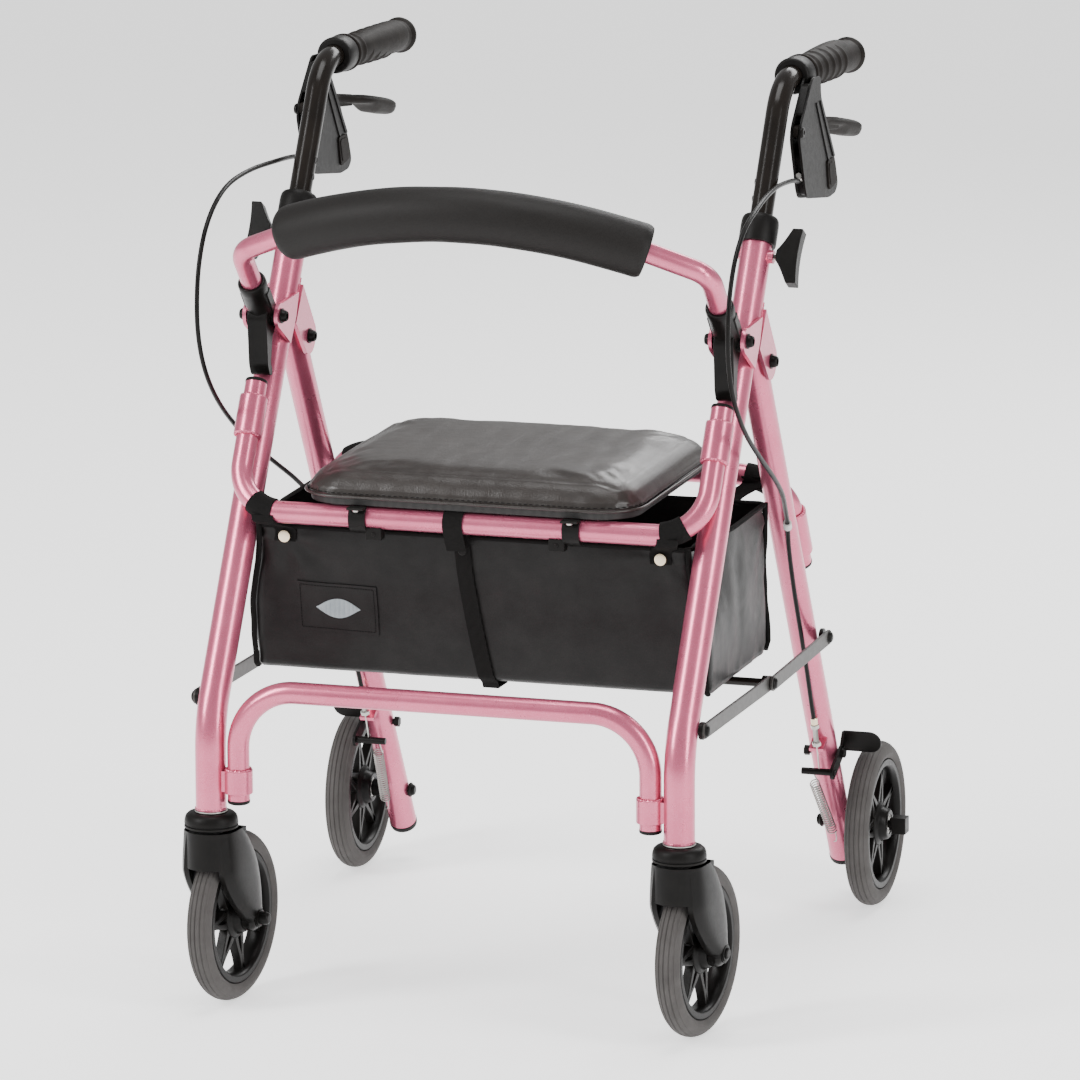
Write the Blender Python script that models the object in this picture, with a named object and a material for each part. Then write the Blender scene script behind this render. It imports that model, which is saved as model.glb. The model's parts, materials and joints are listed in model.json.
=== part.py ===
"""Folding rollator walker, in metres, +Z up.

The front casters stand at -Y, the user walks at +Y, and X is across. The origin is on the floor, under the
middle of the whole walker. SIDES runs over the left (-1) and right (+1) half.
"""

import math

import bmesh
import bpy
from mathutils import Matrix, Vector

# ---------------------------------------------------------------- driving dimensions
GAP = 0.0004  # clearance between pieces that touch
SIDES = (("left", -1), ("right", 1))

WHEEL_R = 0.0895  # 7 in class wheels
TYRE_W = 0.027
RIM_R = 0.071
AXLE_R = 0.0040

LEG_X = 0.252  # middle of each side frame
LEG_R = 0.0160
LEG_BORE_R = 0.0134
HANDLE_R = 0.0118
RAIL_R = 0.0115

CASTER_Y = -0.3278  # swivel axis of the front casters
CASTER_TRAIL = 0.047
CASTER_YAW = math.radians(7.0)  # the casters stand turned a little at rest
LEG_FOOT_Z = 0.2140
LEG_BEND_Z = 0.3080
LEG_LEAN = math.radians(31.2)  # front leg, from the vertical
LEG_TOP_Z = 0.7900

REAR_AXLE = Vector((0, 0.2806, WHEEL_R))
REAR_WHEEL_X = 0.2945
REAR_LEG_LEAN = math.radians(30.45)
REAR_FOOT_Z = 0.0425
FOLD_Z = 0.6620  # pivot between the front and the rear frame

SEAT_HINGE = Vector((0, -0.2429, 0.5130))
SEAT_HALF_W = 0.184
SEAT_FRONT_Y = -0.2560
SEAT_REAR_Y = 0.0640
SEAT_BOTTOM_Z = 0.5262
SEAT_TOP_Z = 0.5670

BACK_PIVOT = Vector((0, -0.1443, 0.6995))
BACK_LEAN = math.radians(42.0)  # the back rest's plane leans forward
PAD_R = 0.0285

GRIP_DROP = math.radians(3.0)
GRIP_R = 0.0180
GRIP_CORNER = Vector((0, 0.0530, 0.9380))  # where the handle tube's two runs would meet
GRIP_START = 0.120  # distances along the grip run, as Y
GRIP_END = 0.318

LEVER_PIVOT = Vector((0, 0.0420, 0.8856))
BRACE_FRONT = Vector((0, -0.3077, 0.3275))
BRACE_KNEE = Vector((0, -0.0665, 0.3226))
BRACE_REAR = Vector((0, 0.1497, 0.3240))
BRACE_FRONT_X = 0.2720  # inner face of the front links
BRACE_REAR_X = 0.2756  # inner face of the rear links
LINK_T = 0.0030
LINK_H = 0.0160

SLEEVE_R = 0.0148  # rings that hold the ends of the rails and the crossbar
RAIL_OFFSET = 0.0335  # from a leg's axis to its rail's axis
RAIL_CLEARANCE = 0.0012
SEAT_SLEEVE_Z = 0.5830
REAR_SLEEVE_Z = 0.4300
REAR_RAIL_Z = 0.4960
CROSSBAR_X = 0.2215
CROSSBAR_Z = 0.3430
CROSSBAR_FOOT_Z = 0.2260
CROSSBAR_SLEEVE_Z = 0.2455

KNOB_Z = 0.7700
PIVOT_HOLE_R = 0.0036  # holes for the hinge bolts
LEVER_PIN_R = 0.0026
BRAKE_PIVOT_Z = 0.1790
CABLE_R = 0.0025

BAG_HALF_W = 0.233
BAG_WALL = 0.0040
BAG_LOW_Z = 0.3330

X = Vector((1, 0, 0))
Y = Vector((0, 1, 0))
Z = Vector((0, 0, 1))
LEG_DIR = Vector((0, math.sin(LEG_LEAN), math.cos(LEG_LEAN)))
LEG_BACK = Vector((0, math.cos(LEG_LEAN), -math.sin(LEG_LEAN)))  # square to the leg, to the rear
REAR_DIR = Vector((0, -math.sin(REAR_LEG_LEAN), math.cos(REAR_LEG_LEAN)))
REAR_BACK = Vector((0, math.cos(REAR_LEG_LEAN), math.sin(REAR_LEG_LEAN)))
BACK_DIR = Vector((0, -math.sin(BACK_LEAN), math.cos(BACK_LEAN)))


def at_x(point, x):
    return Vector((x, point.y, point.z))


def leg_at(z, x=0.0):
    """The front leg's axis at a height above its bend."""
    return Vector((x, CASTER_Y + (z - LEG_BEND_Z) * math.tan(LEG_LEAN), z))


def rear_at(z, x=0.0):
    """The rear leg's axis at a height: it passes through the rear axle."""
    return Vector((x, REAR_AXLE.y - (z - REAR_AXLE.z) * math.tan(REAR_LEG_LEAN), z))


FOLD_PIVOT = rear_at(FOLD_Z)
BRAKE_PIVOT = rear_at(BRAKE_PIVOT_Z)

# ---------------------------------------------------------------- scene and materials
for old in list(bpy.data.objects):
    bpy.data.objects.remove(old, do_unlink=True)


def material(name, colour, rough, metal=0.0):
    made = bpy.data.materials.new(name)
    made.use_nodes = True
    shader = made.node_tree.nodes["Principled BSDF"]
    shader.inputs["Base Color"].default_value = (*colour, 1.0)
    shader.inputs["Roughness"].default_value = rough
    shader.inputs["Metallic"].default_value = metal
    return made


PINK = material("pink_paint", (0.62, 0.23, 0.29), 0.32, 0.45)
BLACK_TUBE = material("black_anodised", (0.025, 0.023, 0.022), 0.28, 0.3)
BLACK_PLASTIC = material("black_plastic", (0.022, 0.021, 0.021), 0.5)
RUBBER = material("grey_tyre", (0.10, 0.095, 0.092), 0.75)
GRIP_RUBBER = material("grip_rubber", (0.03, 0.024, 0.02), 0.7)
VINYL = material("black_vinyl", (0.03, 0.027, 0.026), 0.38)
FOAM = material("black_foam", (0.035, 0.03, 0.029), 0.8)
STEEL = material("steel", (0.6, 0.6, 0.58), 0.3, 1.0)
GREY_LINK = material("grey_link", (0.13, 0.12, 0.11), 0.45, 0.5)
PLYWOOD = material("seat_board_black", (0.04, 0.035, 0.03), 0.6)


def add(name, mesh_data, look, smooth=True):
    """A new object from a bmesh, with faces turned outwards."""
    bmesh.ops.recalc_face_normals(mesh_data, faces=mesh_data.faces)
    mesh = bpy.data.meshes.new(name)
    mesh_data.to_mesh(mesh)
    mesh_data.free()
    if smooth:
        mesh.shade_smooth()
        mesh.set_sharp_from_angle(angle=math.radians(40))
    made = bpy.data.objects.new(name, mesh)
    bpy.context.scene.collection.objects.link(made)
    made.data.materials.append(look)
    return made


def helper(tool):
    """A cutter or a shape that is only joined into another."""
    tool.hide_render = True
    tool.display_type = "WIRE"


def boolean(target, tool, operation):
    step = target.modifiers.new(operation.lower(), "BOOLEAN")
    step.operation = operation
    step.solver = "EXACT"
    step.object = tool
    helper(tool)


def fuse(target, *tools):
    for tool in tools:
        boolean(target, tool, "UNION")


def cut(target, *tools):
    for tool in tools:
        boolean(target, tool, "DIFFERENCE")


# ---------------------------------------------------------------- shapes
def rounded_path(corners, bend, steps=4):
    """A polyline whose inner corners are arcs of radius bend (a number, or one for each corner)."""
    bends = bend if isinstance(bend, (list, tuple)) else [bend] * (len(corners) - 2)
    path = [corners[0]]
    for before, corner, after, radius in zip(corners, corners[1:], corners[2:], bends):
        back, on = (before - corner).normalized(), (after - corner).normalized()
        turn = math.pi - back.angle(on)
        reach = radius * math.tan(turn / 2)
        centre = corner + (back + on).normalized() * radius / math.cos(turn / 2)
        start = corner + back * reach - centre
        axis = start.cross(corner + on * reach - centre).normalized()
        for k in range(steps + 1):
            path.append(centre + Matrix.Rotation(turn * k / steps, 3, axis) @ start)
    path.append(corners[-1])
    return path


def sweep(name, path, half_w, half_h, look, sides=12, up=X):
    """A round or oval bar along a path. half_w lies along up, half_h square to it."""
    bm = bmesh.new()
    rings = []
    count = len(path)
    for k, point in enumerate(path):
        along = (path[min(k + 1, count - 1)] - path[max(k - 1, 0)]).normalized()
        side = (up - along * up.dot(along)).normalized()
        other = along.cross(side)
        ring = []
        for j in range(sides):
            angle = 2 * math.pi * (j + 0.5) / sides
            spot = point + side * half_w * math.cos(angle) + other * half_h * math.sin(angle)
            ring.append(bm.verts.new(spot))
        rings.append(ring)
    for low, high in zip(rings, rings[1:]):
        for j in range(sides):
            following = (j + 1) % sides
            bm.faces.new((low[j], low[following], high[following], high[j]))
    bm.faces.new(list(reversed(rings[0])))
    bm.faces.new(rings[-1])
    return add(name, bm, look)


def rod(name, start, end, radius, look, sides=12):
    up = X if abs((end - start).normalized().x) < 0.9 else Z
    return sweep(name, [start, end], radius, radius, look, sides, up)


def turned(name, profile, axis_point, direction, look, sides=16):
    """A closed profile of (radius, distance along the axis) turned about the axis."""
    bm = bmesh.new()
    frame = direction.to_track_quat("Z", "Y").to_matrix()
    rings = []
    for radius, along in profile:
        if radius < 1e-6:
            rings.append([bm.verts.new(axis_point + direction * along)])
            continue
        spots = []
        for k in range(sides):
            angle = 2 * math.pi * k / sides
            spots.append(Vector((radius * math.cos(angle), radius * math.sin(angle), along)))
        rings.append([bm.verts.new(axis_point + frame @ spot) for spot in spots])
    closed = profile[0][0] > 1e-6
    pairs = list(zip(rings, rings[1:] + ([rings[0]] if closed else [])))
    for low, high in pairs:
        for k in range(sides):
            following = (k + 1) % sides
            corners = [low[k % len(low)], low[following % len(low)]]
            corners += [high[following % len(high)], high[k % len(high)]]
            kept = list(dict.fromkeys(corners))
            if len(kept) > 2:
                bm.faces.new(kept)
    return add(name, bm, look)


def plate(name, outline, x_low, x_high, look):
    """A flat plate square to X from an outline of (y, z)."""
    bm = bmesh.new()
    low = [bm.verts.new((x_low, y, z)) for y, z in outline]
    high = [bm.verts.new((x_high, y, z)) for y, z in outline]
    bm.faces.new(low)
    bm.faces.new(list(reversed(high)))
    for k in range(len(outline)):
        following = (k + 1) % len(outline)
        bm.faces.new((low[k], high[k], high[following], low[following]))
    return add(name, bm, look, smooth=False)


def arc(centre, radius, start_deg, end_deg, steps=6):
    """Points of an arc in the Y-Z plane; 0 degrees is +Y and 90 is +Z."""
    points = []
    for k in range(steps + 1):
        angle = math.radians(start_deg + (end_deg - start_deg) * k / steps)
        points.append((centre.y + radius * math.cos(angle), centre.z + radius * math.sin(angle)))
    return points


def span(side, near, far):
    """The low and high X of something between two distances from the middle plane."""
    return (min(side * near, side * far), max(side * near, side * far))


def box(name, low, high, look, edge=0.0):
    bm = bmesh.new()
    bmesh.ops.create_cube(bm, size=1.0)
    size, middle = Vector(high) - Vector(low), (Vector(low) + Vector(high)) / 2
    bmesh.ops.transform(bm, matrix=Matrix.Translation(middle) @ Matrix.Diagonal((*size, 1)), verts=bm.verts)
    made = add(name, bm, look, smooth=False)
    if edge:
        step = made.modifiers.new("bevel", "BEVEL")
        step.width = edge
        step.segments = 2
    return made


def own_origin(made, point):
    """Moves an object's origin to a point without moving its shape."""
    made.data.transform(Matrix.Translation(-point))
    made.location = point


def obround(a, b, radius, steps=6):
    """The outline of a flat link with round ends, in the Y-Z plane."""
    lean = math.degrees(math.atan2((b - a).z, (b - a).y))
    return arc(b, radius, lean - 90, lean + 90, steps) + arc(a, radius, lean + 90, lean + 270, steps)


# ---------------------------------------------------------------- front frame
def seat_ring_axis(z, x):
    return leg_at(z, x) - LEG_BACK * RAIL_OFFSET


def front_leg(label, side):
    x = side * LEG_X
    foot, bend, top = Vector((x, CASTER_Y, LEG_FOOT_Z)), leg_at(LEG_BEND_Z, x), leg_at(LEG_TOP_Z, x)
    path = rounded_path([foot, bend, top], 0.12)
    leg = sweep(f"front_leg_{label}", path, LEG_R, LEG_R, PINK, 16)
    ring_mid = seat_ring_axis(SEAT_SLEEVE_Z, x)
    ring = rod("seat_ring", ring_mid - LEG_DIR * 0.021, ring_mid + LEG_DIR * 0.021, SLEEVE_R, PINK, 14)
    middle = leg_at(SEAT_SLEEVE_Z, x) - LEG_BACK * RAIL_OFFSET / 2
    web = box("seat_web", (-0.008, -0.012, -0.0195), (0.008, 0.012, 0.0195), PINK)
    web.matrix_world = Matrix.Translation(middle) @ Matrix.Rotation(-LEG_LEAN, 4, "X")
    low_mid = Vector((side * CROSSBAR_X, CASTER_Y, CROSSBAR_SLEEVE_Z))
    low_ring = rod("low_ring", low_mid - Z * 0.0125, low_mid + Z * 0.0125, SLEEVE_R, PINK, 14)
    low, high = span(side, CROSSBAR_X, LEG_X)
    low_web = box("low_web", (low, CASTER_Y - 0.009, 0.2345), (high, CASTER_Y + 0.009, 0.2565), PINK)
    fuse(leg, web, ring, low_web, low_ring)
    # Gusset plates hold the rear leg's pivot behind the front leg.
    gusset_top = leg_at(0.722, x) + LEG_BACK * 0.004
    outline = [(gusset_top.y, gusset_top.z), *arc(FOLD_PIVOT + Vector((0, 0.002, 0)), 0.020, 20, -120, 6)]
    foot_spot = leg_at(0.684, x) + LEG_BACK * 0.002
    outline += [(foot_spot.y, foot_spot.z)]
    for near, far in ((LEG_X - 0.0196, LEG_X - 0.0150), (LEG_X + 0.0150, LEG_X + 0.0196)):
        fuse(leg, plate("gusset", outline, *span(side, near, far), PINK))
    # Ears in front carry the back rest's holder.
    corner, tip = leg_at(0.690, x), leg_at(0.664, x) - LEG_BACK * 0.002
    ear_top = leg_at(0.712, x) - LEG_BACK * 0.004
    ear = [(ear_top.y, ear_top.z), *arc(BACK_PIVOT, 0.0135, 70, 235, 6), (tip.y, tip.z), (corner.y, corner.z)]
    for near, far in ((LEG_X - 0.0192, LEG_X - 0.0152), (LEG_X + 0.0152, LEG_X + 0.0192)):
        fuse(leg, plate("ear", ear, *span(side, near, far), PINK))
    # Bores: the handle tube, the rails' ends and the pivots.
    cut(leg, rod("leg_bore", leg_at(0.53, x), leg_at(0.86, x), LEG_BORE_R, PINK, 14))
    bore = RAIL_R + RAIL_CLEARANCE
    cut(leg, rod("ring_bore", ring_mid - LEG_DIR * 0.03, ring_mid + LEG_DIR * 0.03, bore, PINK, 14))
    cut(leg, rod("low_bore", low_mid - Z * 0.02, low_mid + Z * 0.02, bore, PINK, 14))
    for pivot in (FOLD_PIVOT, BACK_PIVOT):
        cut(leg, rod("pivot_bore", at_x(pivot, x - 0.03), at_x(pivot, x + 0.03), PIVOT_HOLE_R, PINK, 12))
    stem_top = foot + Z * 0.05
    cut(leg, rod("stem_bore", foot - Z * 0.01, stem_top, 0.0078, PINK, 14))
    knob_hole = leg_at(KNOB_Z)
    cut(leg, rod("knob_bore", at_x(knob_hole, x), at_x(knob_hole, x + side * 0.03), 0.0037, PINK, 12))
    return leg


def u_bar(name, end, corner_low, look, bend=0.045, radius=RAIL_R):
    """A bar from an end point down to a corner, across, and up again on the other side."""
    mirror = Matrix.Diagonal((-1, 1, 1))
    corners = [mirror @ end, mirror @ corner_low, corner_low, end]
    return sweep(name, rounded_path(corners, bend), radius, radius, look, 12, (end - corner_low).cross(X))


def front_frame():
    for label, side in SIDES:
        front_leg(label, side)
        x = side * LEG_X
        collar = turned(
            f"height_collar_{label}",
            [(0.0125, -0.004), (0.0125, 0.014), (0.0165, 0.014), (0.0195, 0.010), (0.0195, -0.016),
             (LEG_R + GAP, -0.016), (LEG_R + GAP, -0.004)],
            leg_at(LEG_TOP_Z, x) + LEG_DIR * 0.0045, LEG_DIR, BLACK_PLASTIC, 16)
        own_origin(collar, leg_at(LEG_TOP_Z, x))
        for name, pivot, reach in (("fold_bolt", FOLD_PIVOT, 0.0270), ("back_bolt", BACK_PIVOT, 0.0262)):
            headed_bolt(f"{name}_{label}", at_x(pivot, x), reach, 0.0200)
    top = leg_at(0.6145, LEG_X) - LEG_BACK * RAIL_OFFSET
    u_bar("seat_rail_front", top, at_x(SEAT_HINGE, LEG_X), PINK, 0.050)
    foot = Vector((CROSSBAR_X, CASTER_Y, CROSSBAR_FOOT_Z))
    u_bar("lower_crossbar", foot, Vector((CROSSBAR_X, CASTER_Y, CROSSBAR_Z)), PINK, 0.062)


def headed_bolt(name, middle, reach, shank):
    """A bolt along X with a domed head on each end, reach from middle to tip, heads from shank outwards."""
    profile = [(0, -reach), (0.0042, -reach), (0.0062, -reach + 0.002), (0.0062, -shank), (0.0032, -shank),
               (0.0032, shank), (0.0062, shank), (0.0062, reach - 0.002), (0.0042, reach), (0, reach)]
    made = turned(name, profile, middle, X, BLACK_PLASTIC, 8)
    own_origin(made, middle)
    return made


# ---------------------------------------------------------------- rear frame
def rear_ring_axis(z, x):
    return rear_at(z, x) + REAR_BACK * RAIL_OFFSET


def rear_leg(label, side):
    x = side * LEG_X
    head = rear_at(FOLD_Z + 0.014, x)
    leg = rod(f"rear_leg_{label}", rear_at(REAR_FOOT_Z, x), head, LEG_R - 0.0012, PINK, 16)
    mid = rear_ring_axis(REAR_SLEEVE_Z, x)
    ring = rod("rear_ring", mid - REAR_DIR * 0.028, mid + REAR_DIR * 0.028, SLEEVE_R, PINK, 14)
    web = box("rear_web", (-0.008, -0.012, -0.026), (0.008, 0.012, 0.026), PINK)
    middle = rear_at(REAR_SLEEVE_Z, x) + REAR_BACK * RAIL_OFFSET / 2
    web.matrix_world = Matrix.Translation(middle) @ Matrix.Rotation(REAR_LEG_LEAN, 4, "X")
    # The cable stop: a small shelf on the leg's front side.
    shelf = box("cable_stop", (-0.006, -0.0300, -0.0025), (0.012, 0.0, 0.0025), PINK)
    shelf.matrix_world = Matrix.Translation(rear_at(0.2050, x)) @ Matrix.Rotation(REAR_LEG_LEAN, 4, "X")
    fuse(leg, web, ring, shelf)
    bore = RAIL_R + RAIL_CLEARANCE
    cut(leg, rod("ring_bore", mid - REAR_DIR * 0.04, mid + REAR_DIR * 0.04, bore, PINK, 14))
    for pivot, radius in ((FOLD_PIVOT, PIVOT_HOLE_R), (BRAKE_PIVOT, PIVOT_HOLE_R), (REAR_AXLE, AXLE_R + GAP)):
        cut(leg, rod("pivot_bore", at_x(pivot, x - 0.03), at_x(pivot, x + 0.03), radius, PINK, 12))
    own_origin(leg, at_x(FOLD_PIVOT, x))
    return leg


def rear_frame():
    for label, side in SIDES:
        rear_leg(label, side)
        profile = [(0, -0.022), (0.005, -0.022), (0.0065, -0.020), (0.0065, -0.0155), (AXLE_R, -0.0155),
                   (AXLE_R, 0.0665), (0.0075, 0.0665), (0.0085, 0.068), (0.0085, 0.077), (0.007, 0.0785),
                   (0, 0.0785)]
        middle = at_x(REAR_AXLE, side * LEG_X)
        axle = turned(f"rear_axle_{label}", profile, middle, X * side, BLACK_PLASTIC, 10)
        own_origin(axle, middle)
    end = rear_ring_axis(0.3930, LEG_X)
    u_bar("seat_rail_rear", end, rear_ring_axis(REAR_RAIL_Z, LEG_X), PINK, 0.050)


# ---------------------------------------------------------------- wheels and casters
def wheel(prefix, centre, axis):
    """A tyre and a spoked hub about an axis."""
    half, crown = TYRE_W / 2, WHEEL_R - 0.0125
    tread = []
    for k in range(7):
        angle = math.pi * k / 6
        tread.append((crown + 0.0125 * math.sin(angle), -half * math.cos(angle)))
    tyre = turned(f"{prefix}_tyre", [*tread, (RIM_R, 0.0105), (RIM_R, -0.0105)], centre, axis, RUBBER, 28)
    web, seat = 0.0055, RIM_R - GAP
    profile = [(AXLE_R + GAP, -0.0165), (AXLE_R + GAP, 0.0165), (0.0145, 0.0165), (0.0185, web),
               (0.0605, web), (0.0635, 0.0105), (seat, 0.0105), (seat, -0.0105), (0.0635, -0.0105),
               (0.0605, -web), (0.0185, -web), (0.0145, -0.0165)]
    hub = turned(f"{prefix}_hub", profile, centre, axis, BLACK_PLASTIC, 21)
    frame = axis.to_track_quat("Z", "Y").to_matrix().to_4x4()
    bm = bmesh.new()
    for k in range(7):
        ring = []
        for radius, spread in ((0.024, 0.16), (0.024, -0.16), (0.056, -0.36), (0.058, 0.0), (0.056, 0.36)):
            turn = 2 * math.pi * k / 7 + spread
            ring.append((radius * math.cos(turn), radius * math.sin(turn)))
        low = [bm.verts.new((a, b, -0.02)) for a, b in ring]
        high = [bm.verts.new((a, b, 0.02)) for a, b in ring]
        bm.faces.new(low)
        bm.faces.new(list(reversed(high)))
        for j in range(5):
            bm.faces.new((low[j], high[j], high[(j + 1) % 5], low[(j + 1) % 5]))
    windows = add("windows", bm, BLACK_PLASTIC, smooth=False)
    windows.matrix_world = Matrix.Translation(centre) @ frame
    cut(hub, windows)
    own_origin(tyre, centre)
    return hub


def caster(label, side):
    swivel = Vector((side * LEG_X, CASTER_Y, 0))
    heading = Matrix.Rotation(-CASTER_YAW, 3, "Z")
    rear, across = heading @ Y, heading @ X
    centre = swivel + rear * CASTER_TRAIL + Z * WHEEL_R
    wheel(f"front_wheel_{label}", centre, across)
    outer = across * side
    # Fork: a hood under the bearing, and two arms down to the axle.
    hood_top, hood = 0.1950, swivel + Z * 0.1840
    fork = turned(f"caster_fork_{label}",
                  [(0, 0.0110), (0.0250, 0.0110), (0.0268, 0.0080), (0.0270, -0.0010), (0, -0.0010)],
                  hood, Z, BLACK_PLASTIC, 16)
    arm_low, neck_high, arm_high = 0.0172, 0.0235, 0.0290
    arm = [(-0.0200, 0.1760), (0.0220, 0.1760), (0.0500, 0.1600), (0.0590, 0.1350),
           *arc(Vector((0, CASTER_TRAIL, WHEEL_R)), 0.0140, 30, -180),
           (0.0180, 0.1120), (0.0000, 0.1320), (-0.0160, 0.1460), (-0.0220, 0.1580)]
    neck = [(-0.0240, 0.1900), (0.0240, 0.1900), (0.0260, 0.1600), (-0.0240, 0.1600)]
    for direction in (1, -1):
        for outline, high in ((neck, neck_high), (arm, arm_high)):
            bm = bmesh.new()
            rings = []
            for offset in (arm_low, high):
                spots = [swivel + rear * a + Z * b + across * direction * offset for a, b in outline]
                rings.append([bm.verts.new(spot) for spot in spots])
            bm.faces.new(rings[0])
            bm.faces.new(list(reversed(rings[1])))
            for j in range(len(outline)):
                following = (j + 1) % len(outline)
                bm.faces.new((rings[0][j], rings[1][j], rings[1][following], rings[0][following]))
            fuse(fork, add("arm", bm, BLACK_PLASTIC, smooth=False))
    reach = across * 0.04
    cut(fork, rod("axle_bore", centre - reach, centre + reach, AXLE_R + GAP, BLACK_PLASTIC, 10))
    own_origin(fork, swivel + Z * hood_top)
    cap = turned(f"caster_bearing_{label}",
                 [(0, 0.0560), (0.0070, 0.0560), (0.0070, 0.0165), (0.0130, 0.0165), (0.0130, 0.0140),
                  (0.0200, 0.0120), (0.0275, 0.0080), (0.0280, 0.0004), (0, 0.0004)],
                 swivel + Z * hood_top, Z, BLACK_PLASTIC, 16)
    own_origin(cap, swivel + Z * hood_top)
    head = arm_high + GAP
    profile = [(0, -0.0425), (0.0050, -0.0425), (0.0068, -0.0400), (0.0068, -head), (AXLE_R, -head),
               (AXLE_R, head), (0.0062, head), (0.0062, 0.0335), (0.0045, 0.0350), (0, 0.0350)]
    axle = turned(f"caster_axle_{label}", profile, centre, outer, BLACK_PLASTIC, 10)
    own_origin(axle, centre)


def wheels():
    for label, side in SIDES:
        caster(label, side)
        wheel(f"rear_wheel_{label}", at_x(REAR_AXLE, side * REAR_WHEEL_X), X * side)


# ---------------------------------------------------------------- handles
GRIP_DIR = Vector((0, math.cos(GRIP_DROP), -math.sin(GRIP_DROP)))


def grip_at(y, x):
    return Vector((x, y, GRIP_CORNER.z - (y - GRIP_CORNER.y) * math.tan(GRIP_DROP)))


def handle(label, side):
    x = side * LEG_X
    foot = leg_at(0.6550, x)
    corner, end = at_x(GRIP_CORNER, x), grip_at(GRIP_END - 0.006, x)
    run = leg_at(0.86, x)
    path = rounded_path([foot, run, corner, end], [0.5, 0.060], 5)
    sweep(f"handle_tube_{label}", path, HANDLE_R, HANDLE_R, BLACK_TUBE, 14)
    start = grip_at(GRIP_START, x)
    length = (grip_at(GRIP_END, x) - start).length
    bore = HANDLE_R + GAP
    profile = [(bore, 0), (GRIP_R + 0.002, 0), (GRIP_R + 0.002, 0.006), (GRIP_R - 0.001, 0.012),
               (GRIP_R, 0.060), (GRIP_R + 0.0015, length - 0.045), (GRIP_R + 0.0008, length - 0.008),
               (GRIP_R - 0.006, length), (bore, length)]
    turned(f"grip_{label}", profile, start, GRIP_DIR, GRIP_RUBBER, 14)
    # Brake housing: a clamp ring round the tube, and a body that hangs outside of it.
    ring_at = grip_at(GRIP_START - 0.016, x)
    housing = turned(f"brake_housing_{label}",
                     [(bore, -0.014), (0.0185, -0.014), (0.0195, -0.010), (0.0195, 0.0145), (bore, 0.0145)],
                     ring_at, GRIP_DIR, BLACK_PLASTIC, 16)
    outline = [(0.086, 0.936), (0.1165, 0.934), (0.118, 0.912), (0.150, 0.872), (0.182, 0.832),
               (0.197, 0.806), (0.186, 0.800), (0.156, 0.799), (0.066, 0.812), (0.058, 0.822),
               (0.036, 0.878), (0.040, 0.892)]
    low, high = span(side, LEG_X + 0.0130, LEG_X + 0.0245)
    body = plate("housing_body", outline, low, high, BLACK_PLASTIC)
    fuse(housing, body)
    # The lever's slot in the housing's rear edge, open to the back.
    low, high = span(side, LEG_X + 0.0155, LEG_X + 0.0220)
    slot = plate("lever_slot", [(0.034, 0.872), (0.034, 0.901), (0.30, 0.935), (0.30, 0.838)], low, high,
                 BLACK_PLASTIC)
    cut(housing, slot)
    fuse(housing, rod("lever_pin", at_x(LEVER_PIVOT, side * (LEG_X + 0.0145)),
                      at_x(LEVER_PIVOT, side * (LEG_X + 0.0255)), LEVER_PIN_R, BLACK_PLASTIC, 12))
    pivot = at_x(LEVER_PIVOT, side * (LEG_X + 0.01875))
    blade = [(0.038, 0.8820), (0.042, 0.8795), (0.150, 0.8700), (0.225, 0.8580), (0.296, 0.8440),
             (0.303, 0.8500), (0.299, 0.8580), (0.225, 0.8735), (0.150, 0.8850), (0.042, 0.8925),
             (0.038, 0.8900)]
    root = plate(f"brake_lever_{label}", blade, *span(side, LEG_X + 0.0159, LEG_X + 0.0216), BLACK_PLASTIC)
    paddle_low, paddle_high = span(side, LEG_X - 0.006, LEG_X + 0.0250)
    paddle = [(0.205, 0.8560), (0.222, 0.8460), (0.285, 0.8350), (0.302, 0.8400), (0.305, 0.8480),
              (0.298, 0.8560), (0.215, 0.8700)]
    fuse(root, plate("paddle", paddle, paddle_low, paddle_high, BLACK_PLASTIC))
    bore_from, bore_to = (at_x(LEVER_PIVOT, side * (LEG_X + reach)) for reach in (0.01, 0.03))
    cut(root, rod("pin_bore", bore_from, bore_to, LEVER_PIN_R + GAP, BLACK_PLASTIC, 12))
    own_origin(root, pivot)


def knob(label, side):
    """The hand screw that clamps the handle tube: a stud and two wings."""
    spot = leg_at(KNOB_Z, side * LEG_X)
    start = at_x(spot, side * (LEG_X + HANDLE_R + 0.0006))
    profile = [(0, 0), (0.0033, 0), (0.0033, 0.0110), (0.0060, 0.0110), (0.0095, 0.0230), (0.0095, 0.0330),
               (0, 0.0330)]
    made = turned(f"height_knob_{label}", profile, start, X * side, BLACK_PLASTIC, 10)
    low, high = span(side, LEG_X + 0.0320, LEG_X + 0.0480)
    top, bottom = spot + LEG_DIR * 0.0215, spot - LEG_DIR * 0.0215
    fuse(made, plate("wings", obround(bottom, top, 0.0085, 4), low, high, BLACK_PLASTIC))
    own_origin(made, start)


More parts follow.
